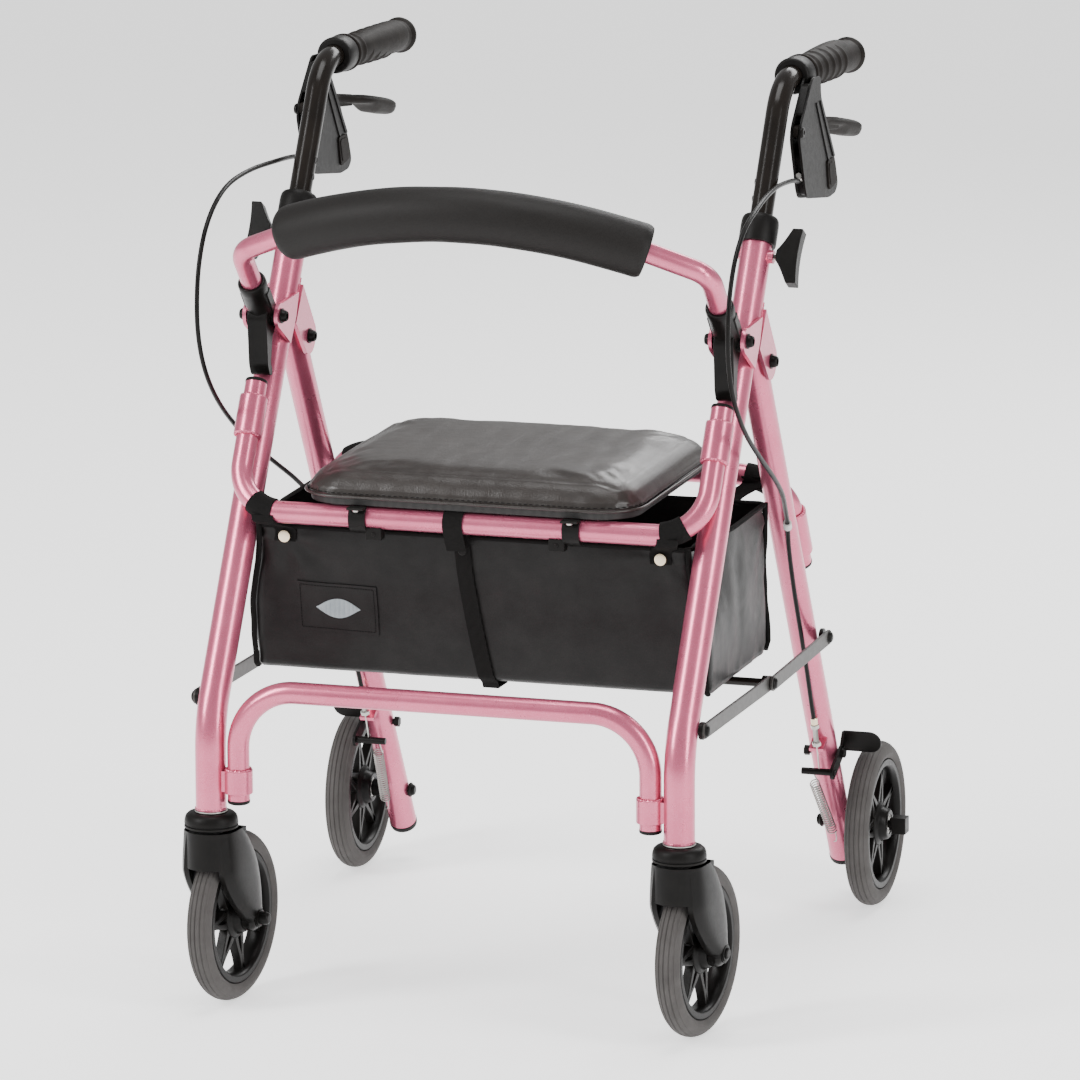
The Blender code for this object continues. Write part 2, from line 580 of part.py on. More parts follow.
# ---------------------------------------------------------------- brakes
def brake(label, side):
    x = side * LEG_X
    pivot = at_x(BRAKE_PIVOT, x)
    pin = Vector((x, 0.1960, 0.1640))
    near, far = LEG_X + 0.0164, LEG_X + 0.0196
    outline = obround(at_x(pin, 0), at_x(pivot, 0), 0.0075, 5)
    arm = plate(f"brake_arm_{label}", outline, *span(side, near, far), BLACK_PLASTIC)
    upright = [(0.2210, 0.1730), (0.2330, 0.1730), (0.2450, 0.1960), (0.2380, 0.2010)]
    fuse(arm, plate("upright", upright, *span(side, near, far), BLACK_PLASTIC))
    shoe = [(0.2462, 0.1762), (0.2486, 0.1775), (0.2400, 0.2010), (0.2372, 0.2000)]
    fuse(arm, plate("shoe", shoe, *span(side, far - 0.0020, REAR_WHEEL_X + 0.0165), BLACK_PLASTIC))
    bolt = rod("arm_bolt", at_x(pivot, side * (far + 0.003)), at_x(pivot, side * (LEG_X - 0.0200)), 0.0032,
               BLACK_PLASTIC, 10)
    head = rod("arm_nut", at_x(pivot, side * (LEG_X - 0.0165)), at_x(pivot, side * (LEG_X - 0.0225)), 0.0060,
               BLACK_PLASTIC, 10)
    cross = rod("cable_pin", at_x(pin, side * (far + 0.001)), at_x(pin, side * (LEG_X - 0.0165)), 0.0040,
                BLACK_PLASTIC, 10)
    fuse(arm, bolt, head, cross)
    own_origin(arm, pivot)
    spring_top, spring_foot = Vector((x, 0.1975, 0.1570)), Vector((x, 0.2395, 0.0850))
    spring = rod(f"brake_spring_{label}", spring_top, spring_foot, 0.0045, STEEL, 12)
    own_origin(spring, spring_foot)


# The outer brake cable of the right side, from the housing to the stop on the rear leg.
CABLE_ROUTE = (
    (0.2710, 0.0490, 0.8330),
    (0.2750, 0.0150, 0.8390),
    (0.2800, -0.0400, 0.8430),
    (0.2830, -0.1000, 0.8440),
    (0.2840, -0.1550, 0.8390),
    (0.2840, -0.2000, 0.8260),
    (0.2840, -0.2330, 0.8030),
    (0.2840, -0.2530, 0.7720),
    (0.2840, -0.2610, 0.7380),
    (0.2840, -0.2600, 0.7040),
    (0.2840, -0.2480, 0.6710),
    (0.2840, -0.2240, 0.6390),
    (0.2840, -0.1880, 0.6080),
    (0.2840, -0.1400, 0.5770),
    (0.2830, -0.0880, 0.5470),
    (0.2780, -0.0370, 0.5190),
    (0.2700, 0.0050, 0.4930),
    (0.2640, 0.0350, 0.4690),
    (0.2600, 0.0560, 0.4360),
    (0.2580, 0.0840, 0.3860),
    (0.2570, 0.1130, 0.3360),
    (0.2560, 0.1420, 0.2860),
    (0.2550, 0.1640, 0.2450),
    (0.2550, 0.1755, 0.2235),
)


def smooth_route(points, parts):
    """Points read from a smooth curve through the route's own points."""
    route = []
    for k in range(len(points) - 1):
        before, here = Vector(points[max(k - 1, 0)]), Vector(points[k])
        after, last = Vector(points[k + 1]), Vector(points[min(k + 2, len(points) - 1)])
        for j in range(parts):
            t = j / parts
            bend = (2 * before - 5 * here + 4 * after - last) * t * t
            twist = (3 * here - before - 3 * after + last) * t ** 3
            route.append((2 * here + (after - before) * t + bend + twist) / 2)
    route.append(Vector(points[-1]))
    return route


def cable(label, side):
    data = bpy.data.curves.new(f"brake_cable_{label}", "CURVE")
    data.dimensions = "3D"
    data.bevel_depth = CABLE_R
    data.bevel_resolution = 2
    data.use_fill_caps = True
    route = smooth_route([(side * x, y, z) for x, y, z in CABLE_ROUTE], 3)
    spline = data.splines.new("POLY")
    spline.points.add(len(route) - 1)
    for spot, point in zip(spline.points, route):
        spot.co = (*point, 1)
    data.materials.append(BLACK_PLASTIC)
    bpy.context.scene.collection.objects.link(bpy.data.objects.new(f"brake_cable_{label}", data))


# ---------------------------------------------------------------- folding braces
def braces():
    for label, side in SIDES:
        low, high = span(side, BRACE_FRONT_X, BRACE_FRONT_X + LINK_T)
        outline = obround(BRACE_FRONT, BRACE_KNEE, LINK_H / 2, 5)
        front = plate(f"brace_front_{label}", outline, low, high, GREY_LINK)
        bolt = rod("brace_bolt", at_x(BRACE_FRONT, side * (LEG_X + 0.0165)), at_x(BRACE_FRONT, side * 0.2785),
                   0.0055, GREY_LINK, 12)
        fuse(front, bolt)
        own_origin(front, at_x(BRACE_FRONT, side * BRACE_FRONT_X))
        low, high = span(side, BRACE_REAR_X, BRACE_REAR_X + LINK_T)
        outline = obround(BRACE_KNEE, BRACE_REAR, LINK_H / 2, 5)
        rear = plate(f"brace_rear_{label}", outline, low, high, GREY_LINK)
        bolt = rod("brace_bolt", at_x(BRACE_REAR, side * (LEG_X + 0.0165)), at_x(BRACE_REAR, side * 0.2815),
                   0.0055, GREY_LINK, 12)
        fuse(rear, bolt)
        own_origin(rear, at_x(BRACE_REAR, side * BRACE_REAR_X))
    half = BRACE_FRONT_X - GAP
    rod("brace_cross_rod", at_x(BRACE_KNEE, -half), at_x(BRACE_KNEE, half), 0.0045, BLACK_TUBE, 12)


# ---------------------------------------------------------------- back rest
def back_at(x, height):
    """A point of the back rest's plane, height above the pivot."""
    return at_x(BACK_PIVOT + BACK_DIR * height, x)


def arch_height(x):
    """Height of the bar's middle line above the pivot: a bow between the corners."""
    return 0.1880 - 0.0620 * (x / 0.222) ** 2


def back_rest():
    bend_x, foot = LEG_X, 0.0400
    bow = [back_at(x / 1000, arch_height(x / 1000)) for x in range(-192, 193, 32)]
    left = rounded_path([back_at(-bend_x, foot), back_at(-bend_x, 0.1080), bow[0]], 0.030, 5)[:-1]
    mirror = Matrix.Diagonal((-1, 1, 1))
    path = left + bow + [mirror @ spot for spot in reversed(left)]
    sweep("back_bar", path, RAIL_R - 0.0005, RAIL_R - 0.0005, PINK, 12, BACK_DIR.cross(X))
    centre = [back_at(x / 1000, arch_height(x / 1000)) for x in range(-192, 193, 32)]
    pad = sweep("back_pad", centre, PAD_R, PAD_R, FOAM, 14, BACK_DIR.cross(X))
    tunnel = [back_at(x / 1000, arch_height(x / 1000)) for x in range(-224, 225, 32)]
    cut(pad, sweep("pad_bore", tunnel, RAIL_R + 0.001, RAIL_R + 0.001, FOAM, 10, BACK_DIR.cross(X)))
    for label, side in SIDES:
        x = side * LEG_X
        low, high = span(side, LEG_X - 0.0146, LEG_X + 0.0146)
        cup_x = side * bend_x
        holder = rod(f"back_holder_{label}", back_at(cup_x, -0.010), back_at(cup_x, 0.058), 0.0146,
                     BLACK_PLASTIC, 16)
        tail = [(-0.1620, 0.7150), (-0.1680, 0.7000), (-0.1640, 0.6500), (-0.1580, 0.6380), (-0.1490, 0.6370),
                (-0.1490, 0.6440), (-0.1530, 0.6500), (-0.1480, 0.6760), (-0.1310, 0.6960), (-0.1330, 0.7080)]
        fuse(holder, plate("tail", tail, low + 0.004, high - 0.004, BLACK_PLASTIC))
        fuse(holder, rod("barrel", at_x(BACK_PIVOT, low), at_x(BACK_PIVOT, high), 0.0110, BLACK_PLASTIC, 16))
        cut(holder, rod("cup", back_at(cup_x, foot - 0.001), back_at(cup_x, 0.09), RAIL_R, BLACK_PLASTIC, 14))
        cut(holder, rod("bolt_hole", at_x(BACK_PIVOT, low - 0.01), at_x(BACK_PIVOT, high + 0.01), 0.0036,
                        BLACK_PLASTIC, 10))
        own_origin(holder, at_x(BACK_PIVOT, x))


# ---------------------------------------------------------------- seat and bag
def seat():
    cushion = box("seat_cushion", (-SEAT_HALF_W, SEAT_FRONT_Y, SEAT_BOTTOM_Z + 0.0080),
                  (SEAT_HALF_W, SEAT_REAR_Y, SEAT_TOP_Z), VINYL, 0.012)
    own_origin(cushion, SEAT_HINGE)
    inset = 0.006
    board = box("seat_board", (-SEAT_HALF_W + inset, SEAT_FRONT_Y + inset, SEAT_BOTTOM_Z),
                (SEAT_HALF_W - inset, SEAT_REAR_Y - inset, SEAT_BOTTOM_Z + 0.0076), PLYWOOD)
    own_origin(board, SEAT_HINGE)
    for label, side in SIDES:
        middle = at_x(SEAT_HINGE, side * 0.1150)
        inner, outer = RAIL_R + GAP, RAIL_R + 0.0036
        profile = [(inner, -0.009), (outer, -0.009), (outer, 0.009), (inner, 0.009)]
        clip = turned(f"seat_clip_{label}", profile, middle, X, BLACK_PLASTIC, 18)
        trim = box("clip_trim", (middle.x - 0.02, middle.y - 0.03, SEAT_BOTTOM_Z - GAP),
                   (middle.x + 0.02, middle.y + 0.03, SEAT_BOTTOM_Z + 0.02), BLACK_PLASTIC)
        cut(clip, trim)
        own_origin(clip, middle)


def bag():
    """An open soft box hung between the two seat rails, with walls all round."""
    outline = [(-0.2260, 0.4960), (0.0160, 0.4960), (0.0100, 0.4200), (0.0260, 0.3460),
               (0.0160, BAG_LOW_Z + BAG_WALL), (-0.1880, BAG_LOW_Z), (-0.2000, 0.3420)]
    shell = plate("bag", outline, -BAG_HALF_W, BAG_HALF_W, VINYL)
    inner = [(-0.2210, 0.60), (0.0110, 0.60), (0.0050, 0.4200), (0.0205, 0.3470),
             (0.0140, BAG_LOW_Z + 2 * BAG_WALL), (-0.1860, BAG_LOW_Z + BAG_WALL), (-0.1950, 0.3440)]
    cut(shell, plate("bag_inside", inner, -BAG_HALF_W + BAG_WALL, BAG_HALF_W - BAG_WALL, VINYL))
    strap = [(-0.2320, 0.4950), (-0.2300, 0.4950), (-0.1990, 0.3320), (-0.2020, 0.3310)]
    plate("pull_strap", strap, -0.0120, 0.0120, VINYL)


front_frame()
rear_frame()
wheels()
for name_of_side, sign in SIDES:
    handle(name_of_side, sign)
    knob(name_of_side, sign)
    brake(name_of_side, sign)
    cable(name_of_side, sign)
braces()
back_rest()
seat()
bag()
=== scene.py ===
import json
import math

import bmesh
import bpy
from mathutils import Matrix, Vector, noise


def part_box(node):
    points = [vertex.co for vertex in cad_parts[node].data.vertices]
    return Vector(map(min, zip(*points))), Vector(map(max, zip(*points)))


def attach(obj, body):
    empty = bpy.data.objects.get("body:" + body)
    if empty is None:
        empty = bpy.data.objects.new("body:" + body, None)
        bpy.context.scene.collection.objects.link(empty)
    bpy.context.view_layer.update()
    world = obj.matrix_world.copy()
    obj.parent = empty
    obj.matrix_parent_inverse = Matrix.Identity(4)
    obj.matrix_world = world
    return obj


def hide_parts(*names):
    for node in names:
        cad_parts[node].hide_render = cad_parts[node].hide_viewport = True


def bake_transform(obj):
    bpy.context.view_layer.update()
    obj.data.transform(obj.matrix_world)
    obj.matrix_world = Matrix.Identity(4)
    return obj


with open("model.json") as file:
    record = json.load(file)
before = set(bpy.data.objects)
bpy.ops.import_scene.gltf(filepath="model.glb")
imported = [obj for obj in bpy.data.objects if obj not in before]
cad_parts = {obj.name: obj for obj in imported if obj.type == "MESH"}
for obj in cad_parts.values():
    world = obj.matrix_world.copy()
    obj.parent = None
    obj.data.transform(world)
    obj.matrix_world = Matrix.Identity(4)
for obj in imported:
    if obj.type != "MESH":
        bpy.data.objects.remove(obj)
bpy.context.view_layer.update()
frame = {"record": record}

SIDES = (("left", -1), ("right", 1))
X, Y, Z = Vector((1, 0, 0)), Vector((0, 1, 0)), Vector((0, 0, 1))


# ---------------------------------------------------------------- places read from the frame
def middle(node):
    low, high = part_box(node)
    return (Vector(low) + Vector(high)) / 2


def joint(name):
    return next(j for j in frame["record"]["behaviour"]["joints"] if j["name"] == name)


def pivot(name):
    return Vector(joint(name)["pos_m"])


LEG_X = abs(pivot("caster_swivel_right").x)
CASTER_Y = pivot("caster_swivel_right").y
WHEEL_R = pivot("rear_wheel_spin_right").z
REAR_AXLE = Vector((0, pivot("rear_wheel_spin_right").y, WHEEL_R))
REAR_WHEEL_X = pivot("rear_wheel_spin_right").x
FOLD = pivot("rear_fold")
BACK = pivot("back_flip")
SEAT_HINGE = pivot("seat_flip")
BRAKE = pivot("brake_press_right")
BRACE_FRONT, BRACE_REAR = pivot("brace_front_fold"), pivot("brace_rear_fold")
BRACE_KNEE = middle("brace_cross_rod")
LEG_DIR = Vector(joint("height_right")["axis"]).normalized()
LEG_BACK = Vector((0, LEG_DIR.z, -LEG_DIR.y))
REAR_DIR = (FOLD - REAR_AXLE).normalized()
REAR_BACK = Vector((0, REAR_DIR.z, -REAR_DIR.y))
BACK_LEAN = math.radians(42.0)
BACK_DIR = Vector((0, -math.sin(BACK_LEAN), math.cos(BACK_LEAN)))
LEG_R, LEG_BEND_Z, LEG_FOOT_Z, LEG_TOP_Z = 0.0160, 0.3080, 0.2140, 0.7900
REAR_R, RAIL_R, HANDLE_R, SLEEVE_R, RAIL_OFFSET = 0.0148, 0.0115, 0.0118, 0.0148, 0.0335
GRIP_DROP = math.radians(3.0)
GRIP_CORNER = Vector((0, 0.0530, 0.9380))
GRIP_DIR = Vector((0, math.cos(GRIP_DROP), -math.sin(GRIP_DROP)))
YAW, TRAIL, HOOD_TOP = math.radians(7.0), 0.047, 0.1925
MIRROR = Matrix.Diagonal((-1, 1, 1))


def at_x(point, x):
    return Vector((x, point.y, point.z))


def leg_at(z, x=0.0):
    return Vector((x, CASTER_Y + (z - LEG_BEND_Z) * LEG_DIR.y / LEG_DIR.z, z))


def rear_at(z, x=0.0):
    return Vector((x, REAR_AXLE.y + (z - REAR_AXLE.z) * REAR_DIR.y / REAR_DIR.z, z))


def grip_at(y, x):
    return Vector((x, y, GRIP_CORNER.z - (y - GRIP_CORNER.y) * math.tan(GRIP_DROP)))


def seat_ring(z, x):
    return leg_at(z, x) - LEG_BACK * RAIL_OFFSET


def rear_ring(z, x):
    return rear_at(z, x) + REAR_BACK * RAIL_OFFSET


# The U-shaped seat rails: the end in a leg's sleeve, the corner above it, and the bend between.
FRONT_RAIL = (seat_ring(0.6145, LEG_X), at_x(SEAT_HINGE, LEG_X))
REAR_RAIL = (rear_ring(0.3930, LEG_X), rear_ring(0.4960, LEG_X))
RAIL_BEND = 0.050


# ---------------------------------------------------------------- materials
class Nodes:
    """A material's node tree with short calls for what the looks use."""

    def __init__(self, name):
        self.material = bpy.data.materials.new(name)
        self.material.use_nodes = True
        self.tree = self.material.node_tree
        self.shader = self.tree.nodes["Principled BSDF"]
        self.spot = self.tree.nodes.new("ShaderNodeTexCoord").outputs["Object"]

    def link(self, a, b):
        self.tree.links.new(a, b)

    def texture(self, kind, scale, source=None, **values):
        made = self.tree.nodes.new(kind)
        self.link(source or self.spot, made.inputs["Vector"])
        made.inputs["Scale"].default_value = scale
        for key, value in values.items():
            made.inputs[key].default_value = value
        return made

    def noise(self, scale, detail=4.0, rough=0.5):
        made = self.texture("ShaderNodeTexNoise", scale, Detail=detail, Roughness=rough)
        return made.outputs["Fac"]

    def ramp(self, source, low, high, start=0.3, end=0.7):
        made = self.tree.nodes.new("ShaderNodeValToRGB")
        made.color_ramp.elements[0].position = start
        made.color_ramp.elements[1].position = end
        made.color_ramp.elements[0].color = (*low, 1.0)
        made.color_ramp.elements[1].color = (*high, 1.0)
        self.link(source, made.inputs["Fac"])
        return made.outputs["Color"]

    def levels(self, source, low, high):
        made = self.tree.nodes.new("ShaderNodeMapRange")
        made.inputs["To Min"].default_value = low
        made.inputs["To Max"].default_value = high
        self.link(source, made.inputs["Value"])
        return made.outputs["Result"]

    def bump(self, height, strength, distance, under=None):
        made = self.tree.nodes.new("ShaderNodeBump")
        made.inputs["Strength"].default_value = strength
        made.inputs["Distance"].default_value = distance
        self.link(height, made.inputs["Height"])
        if under is not None:
            self.link(under, made.inputs["Normal"])
        return made.outputs["Normal"]

    def worn(self, colour, edge_colour, spread=0.15):
        """The colour, turning to the edge colour along convex edges."""
        geometry = self.tree.nodes.new("ShaderNodeNewGeometry")
        ramp = self.ramp(geometry.outputs["Pointiness"], (0, 0, 0), (1, 1, 1), 0.52, 0.52 + spread)
        mix = self.tree.nodes.new("ShaderNodeMix")
        mix.data_type = "RGBA"
        self.link(ramp, mix.inputs[0])
        self.link(colour, mix.inputs[6])
        mix.inputs[7].default_value = (*edge_colour, 1.0)
        return mix.outputs[2]

    def set(self, **values):
        for key, value in values.items():
            socket = self.shader.inputs[key.replace("_", " ").title().replace("Ior", "IOR")]
            if isinstance(value, bpy.types.NodeSocket):
                self.link(value, socket)
            else:
                socket.default_value = value
        return self.material


def painted():
    """Metallic rose paint: fine flakes in a clear coat, with the slight waviness of a sprayed tube."""
    n = Nodes("rose_metallic_paint")
    flakes = n.texture("ShaderNodeTexVoronoi", 2600.0)
    tone = n.ramp(n.noise(14.0, 3.0), (0.545, 0.105, 0.185), (0.62, 0.135, 0.225), 0.35, 0.65)
    mix = n.tree.nodes.new("ShaderNodeMix")
    mix.data_type = "RGBA"
    n.link(n.ramp(flakes.outputs["Color"], (0, 0, 0), (0.35, 0.35, 0.35), 0.55, 0.95), mix.inputs[0])
    n.link(tone, mix.inputs[6])
    mix.inputs[7].default_value = (0.88, 0.40, 0.54, 1.0)
    normal = n.bump(n.noise(420.0, 2.0), 0.10, 0.0004)
    rough = n.levels(n.noise(60.0, 5.0), 0.24, 0.33)
    return n.set(base_color=mix.outputs[2], metallic=0.70, roughness=rough, normal=normal,
                 coat_weight=0.25, coat_roughness=0.10)


def gloss_black():
    n = Nodes("black_anodised_tube")
    colour = n.ramp(n.noise(25.0, 4.0), (0.006, 0.0046, 0.0038), (0.011, 0.0086, 0.0070))
    streaks = n.noise(900.0, 2.0)
    return n.set(base_color=colour, metallic=0.0, roughness=n.levels(streaks, 0.16, 0.24),
                 normal=n.bump(streaks, 0.05, 0.0002), specular_ior_level=0.20)


def moulded(name, low, high, rough):
    """Injection-moulded black with a fine spark-eroded grain and greyer edges."""
    n = Nodes(name)
    colour = n.worn(n.ramp(n.noise(60.0, 5.0), low, high), (0.012, 0.0108, 0.0100))
    grain = n.noise(2200.0, 2.0, 0.6)
    wide = n.bump(n.noise(70.0, 3.0), 0.12, 0.0006)
    return n.set(base_color=colour, roughness=n.levels(n.noise(180.0, 4.0), rough - 0.06, rough + 0.10),
                 normal=n.bump(grain, 0.22, 0.0003, wide), specular_ior_level=0.12)


def tyre_rubber():
    n = Nodes("grey_tyre_rubber")
    colour = n.ramp(n.noise(45.0, 6.0, 0.6), (0.046, 0.0420, 0.0400), (0.066, 0.0610, 0.0585))
    dust = n.worn(colour, (0.090, 0.084, 0.081), 0.2)
    return n.set(base_color=dust, roughness=n.levels(n.noise(120.0, 4.0), 0.66, 0.84),
                 normal=n.bump(n.noise(1500.0, 3.0), 0.25, 0.0003), specular_ior_level=0.3)


def grip_rubber():
    n = Nodes("grip_rubber")
    colour = n.ramp(n.noise(80.0, 5.0), (0.0055, 0.0040, 0.0032), (0.0100, 0.0076, 0.0062))
    return n.set(base_color=colour, roughness=n.levels(n.noise(200.0, 4.0), 0.52, 0.68),
                 normal=n.bump(n.noise(1800.0, 2.0), 0.3, 0.0003), specular_ior_level=0.10)


def leather(name, low, high, rough, grain=620.0, shine=0.16):
    """Grained vinyl: small cells with creases between them, over soft wide wrinkles."""
    n = Nodes(name)
    cells = n.texture("ShaderNodeTexVoronoi", grain)
    colour = n.ramp(n.noise(38.0, 6.0, 0.6), low, high)
    wrinkle = n.bump(n.noise(28.0, 5.0), 0.25, 0.0022)
    normal = n.bump(cells.outputs["Distance"], 0.28, 0.0005, wrinkle)
    return n.set(base_color=colour, roughness=n.levels(n.noise(90.0, 5.0), rough - 0.07, rough + 0.09),
                 normal=normal, specular_ior_level=shine)


def webbing():
    n = Nodes("black_webbing")
    wave = n.texture("ShaderNodeTexWave", 260.0, Distortion=0.6)
    cross = n.texture("ShaderNodeTexWave", 420.0, Distortion=0.4)
    cross.bands_direction = "Z"
    colour = n.ramp(wave.outputs["Color"], (0.0035, 0.0033, 0.0032), (0.0115, 0.0108, 0.0104), 0.2, 0.8)
    first = n.bump(wave.outputs["Fac"], 0.5, 0.0005)
    return n.set(base_color=colour, roughness=0.82, normal=n.bump(cross.outputs["Fac"], 0.4, 0.0004, first),
                 specular_ior_level=0.08)


def foam():
    """Closed-cell foam with open pores at the skin."""
    n = Nodes("black_foam")
    pores = n.texture("ShaderNodeTexVoronoi", 900.0)
    fine = n.texture("ShaderNodeTexVoronoi", 2600.0)
    colour = n.ramp(pores.outputs["Distance"], (0.0045, 0.0040, 0.0038), (0.0120, 0.0108, 0.0102), 0.0, 0.5)
    first = n.bump(pores.outputs["Distance"], 0.25, 0.0004)
    normal = n.bump(fine.outputs["Distance"], 0.25, 0.0002, first)
    return n.set(base_color=colour, roughness=0.50, normal=normal, specular_ior_level=0.14)


def metal(name, low, high, rough, grain=700.0):
    n = Nodes(name)
    streaks = n.noise(grain, 3.0)
    colour = n.ramp(n.noise(35.0, 5.0), low, high)
    return n.set(base_color=colour, metallic=1.0, roughness=n.levels(streaks, rough - 0.05, rough + 0.10),
                 normal=n.bump(streaks, 0.08, 0.0002))


def link_paint():
    n = Nodes("grey_link_paint")
    colour = n.worn(n.ramp(n.noise(55.0, 6.0), (0.020, 0.0180, 0.0165), (0.034, 0.0310, 0.0290)),
                    (0.10, 0.092, 0.085))
    return n.set(base_color=colour, metallic=0.30, roughness=n.levels(n.noise(300.0, 3.0), 0.36, 0.50),
                 normal=n.bump(n.noise(900.0, 2.0), 0.12, 0.0003))


def board():
    n = Nodes("seat_board_black")
    long_grain = n.texture("ShaderNodeTexWave", 30.0, Distortion=6.0)
    colour = n.ramp(long_grain.outputs["Fac"], (0.006, 0.0052, 0.0048), (0.012, 0.0105, 0.0098), 0.2, 0.8)
    return n.set(base_color=colour, roughness=0.62, normal=n.bump(long_grain.outputs["Fac"], 0.2, 0.0004))


PINK = painted()
TUBE = gloss_black()
PLASTIC = moulded("black_moulded_plastic", (0.0032, 0.0028, 0.0026), (0.0058, 0.0052, 0.0048), 0.42)
SATIN = moulded("black_satin_plastic", (0.0028, 0.0025, 0.0023), (0.0052, 0.0046, 0.0042), 0.32)
TYRE = tyre_rubber()
GRIP = grip_rubber()
# Seat vinyl: a near-black vinyl whose base colour is lifted and warmed as a painted reflection, standing in
# for the light the cushion's top catches; its raised shine is real gloss.
SEAT_VINYL = leather("seat_vinyl", (0.0150, 0.0112, 0.0094), (0.0230, 0.0180, 0.0155), 0.34, shine=0.45)
BAG_VINYL = leather("bag_vinyl", (0.0062, 0.0056, 0.0054), (0.0108, 0.0100, 0.0097), 0.38, 800.0)
PATCH = leather("badge_vinyl", (0.30, 0.34, 0.36), (0.42, 0.46, 0.48), 0.5, 1200.0)
WEBBING = webbing()
FOAM = foam()
STEEL = metal("zinc_plated_steel", (0.36, 0.35, 0.335), (0.52, 0.51, 0.485), 0.28)
BRASS = metal("brass", (0.66, 0.54, 0.38), (0.80, 0.68, 0.50), 0.22)
LINK = link_paint()
BOARD = board()
CLIP = moulded("white_nylon", (0.62, 0.61, 0.59), (0.72, 0.71, 0.69), 0.42)


# ---------------------------------------------------------------- shapes
def rounded_path(corners, bend, steps=12):
    """A polyline whose inner corners are arcs of radius bend (a number, or one for each corner)."""
    bends = bend if isinstance(bend, (list, tuple)) else [bend] * (len(corners) - 2)
    path = [corners[0]]
    for before, corner, after, radius in zip(corners, corners[1:], corners[2:], bends):
        back, on = (before - corner).normalized(), (after - corner).normalized()
        turn = math.pi - back.angle(on)
        reach = radius * math.tan(turn / 2)
        centre = corner + (back + on).normalized() * radius / math.cos(turn / 2)
        start = corner + back * reach - centre
        axis = start.cross(corner + on * reach - centre).normalized()
        path += [centre + Matrix.Rotation(turn * k / steps, 3, axis) @ start for k in range(steps + 1)]
    path.append(corners[-1])
    return path


def smooth_route(points, parts):
    """Points read from a smooth curve through the route's own points."""
    route = []
    for k in range(len(points) - 1):
        before, here = Vector(points[max(k - 1, 0)]), Vector(points[k])
        after, last = Vector(points[k + 1]), Vector(points[min(k + 2, len(points) - 1)])
        for j in range(parts):
            t = j / parts
            bend = (2 * before - 5 * here + 4 * after - last) * t * t
            twist = (3 * here - before - 3 * after + last) * t ** 3
            route.append((2 * here + (after - before) * t + bend + twist) / 2)
    route.append(Vector(points[-1]))
    return route


def skin(bm, rings, ends=True):
    """Faces between each ring of points and the next, and over the two ends."""
    for low, high in zip(rings, rings[1:]):
        for j in range(len(low)):
            n = (j + 1) % len(low)
            bm.faces.new((low[j], low[n], high[n], high[j]))
    if ends:
        bm.faces.new(list(reversed(rings[0])))
        bm.faces.new(rings[-1])


def tube(bm, path, radius, sides=32, up=X, squeeze=1.0):
    """A capped round bar along a path. radius may be a function of the place along it, from 0 to 1."""
    size = radius if callable(radius) else (lambda t: radius)
    rings, count = [], len(path)
    for k, point in enumerate(path):
        along = (path[min(k + 1, count - 1)] - path[max(k - 1, 0)]).normalized()
        side = (up - along * up.dot(along)).normalized()
        other = along.cross(side)
        r = size(k / (count - 1))
        spots = [(math.cos(2 * math.pi * j / sides), math.sin(2 * math.pi * j / sides))
                 for j in range(sides)]
        rings.append([bm.verts.new(point + side * r * a + other * r * b * squeeze) for a, b in spots])
    skin(bm, rings)


def rod(bm, a, b, radius, sides=24):
    tube(bm, [a, b], radius, sides, X if abs((b - a).normalized().x) < 0.9 else Z)


def lathe(bm, profile, origin, direction, sides=48):
    """Turns a profile of (radius, distance along the axis). It closes unless it starts on the axis."""
    turn = direction.to_track_quat("Z", "Y").to_matrix()
    rings = []
    for radius, along in profile:
        if radius < 1e-6:
            rings.append([bm.verts.new(origin + direction * along)])
            continue
        angles = [2 * math.pi * k / sides for k in range(sides)]
        spots = [Vector((radius * math.cos(a), radius * math.sin(a), along)) for a in angles]
        rings.append([bm.verts.new(origin + turn @ spot) for spot in spots])
    closed = profile[0][0] > 1e-6
    for low, high in zip(rings, rings[1:] + ([rings[0]] if closed else [])):
        for k in range(sides):
            corners = [low[k % len(low)], low[(k + 1) % len(low)]]
            corners += [high[(k + 1) % len(high)], high[k % len(high)]]
            kept = list(dict.fromkeys(corners))
            if len(kept) > 2:
                bm.faces.new(kept)


def prism(bm, low, high):
    """A closed solid between two matching outlines."""
    a, b = [bm.verts.new(p) for p in low], [bm.verts.new(p) for p in high]
    bm.faces.new(a)
    bm.faces.new(list(reversed(b)))
    for k in range(len(a)):
        following = (k + 1) % len(a)
        bm.faces.new((a[k], b[k], b[following], a[following]))


def slab(bm, outline, x_low, x_high):
    """A flat plate square to X from an outline of (y, z)."""
    prism(bm, [(x_low, y, z) for y, z in outline], [(x_high, y, z) for y, z in outline])


def block(bm, centre, size, turn=None):
    half = Vector(size) / 2
    spin = turn or Matrix.Identity(3)
    corners = ((-1, -1), (1, -1), (1, 1), (-1, 1))
    ends = []
    for s in (-1, 1):
        ends.append([centre + spin @ Vector((s * half.x, a * half.y, b * half.z)) for a, b in corners])
    prism(bm, *ends)


def arc(centre, radius, start_deg, end_deg, steps=16):
    """Points of an arc in the Y-Z plane; 0 degrees is +Y and 90 is +Z."""
    angles = [math.radians(start_deg + (end_deg - start_deg) * k / steps) for k in range(steps + 1)]
    return [(centre.y + radius * math.cos(a), centre.z + radius * math.sin(a)) for a in angles]


def obround(a, b, radius, steps=16):
    lean = math.degrees(math.atan2((b - a).z, (b - a).y))
    return arc(b, radius, lean - 90, lean + 90, steps) + arc(a, radius, lean + 90, lean + 270, steps)


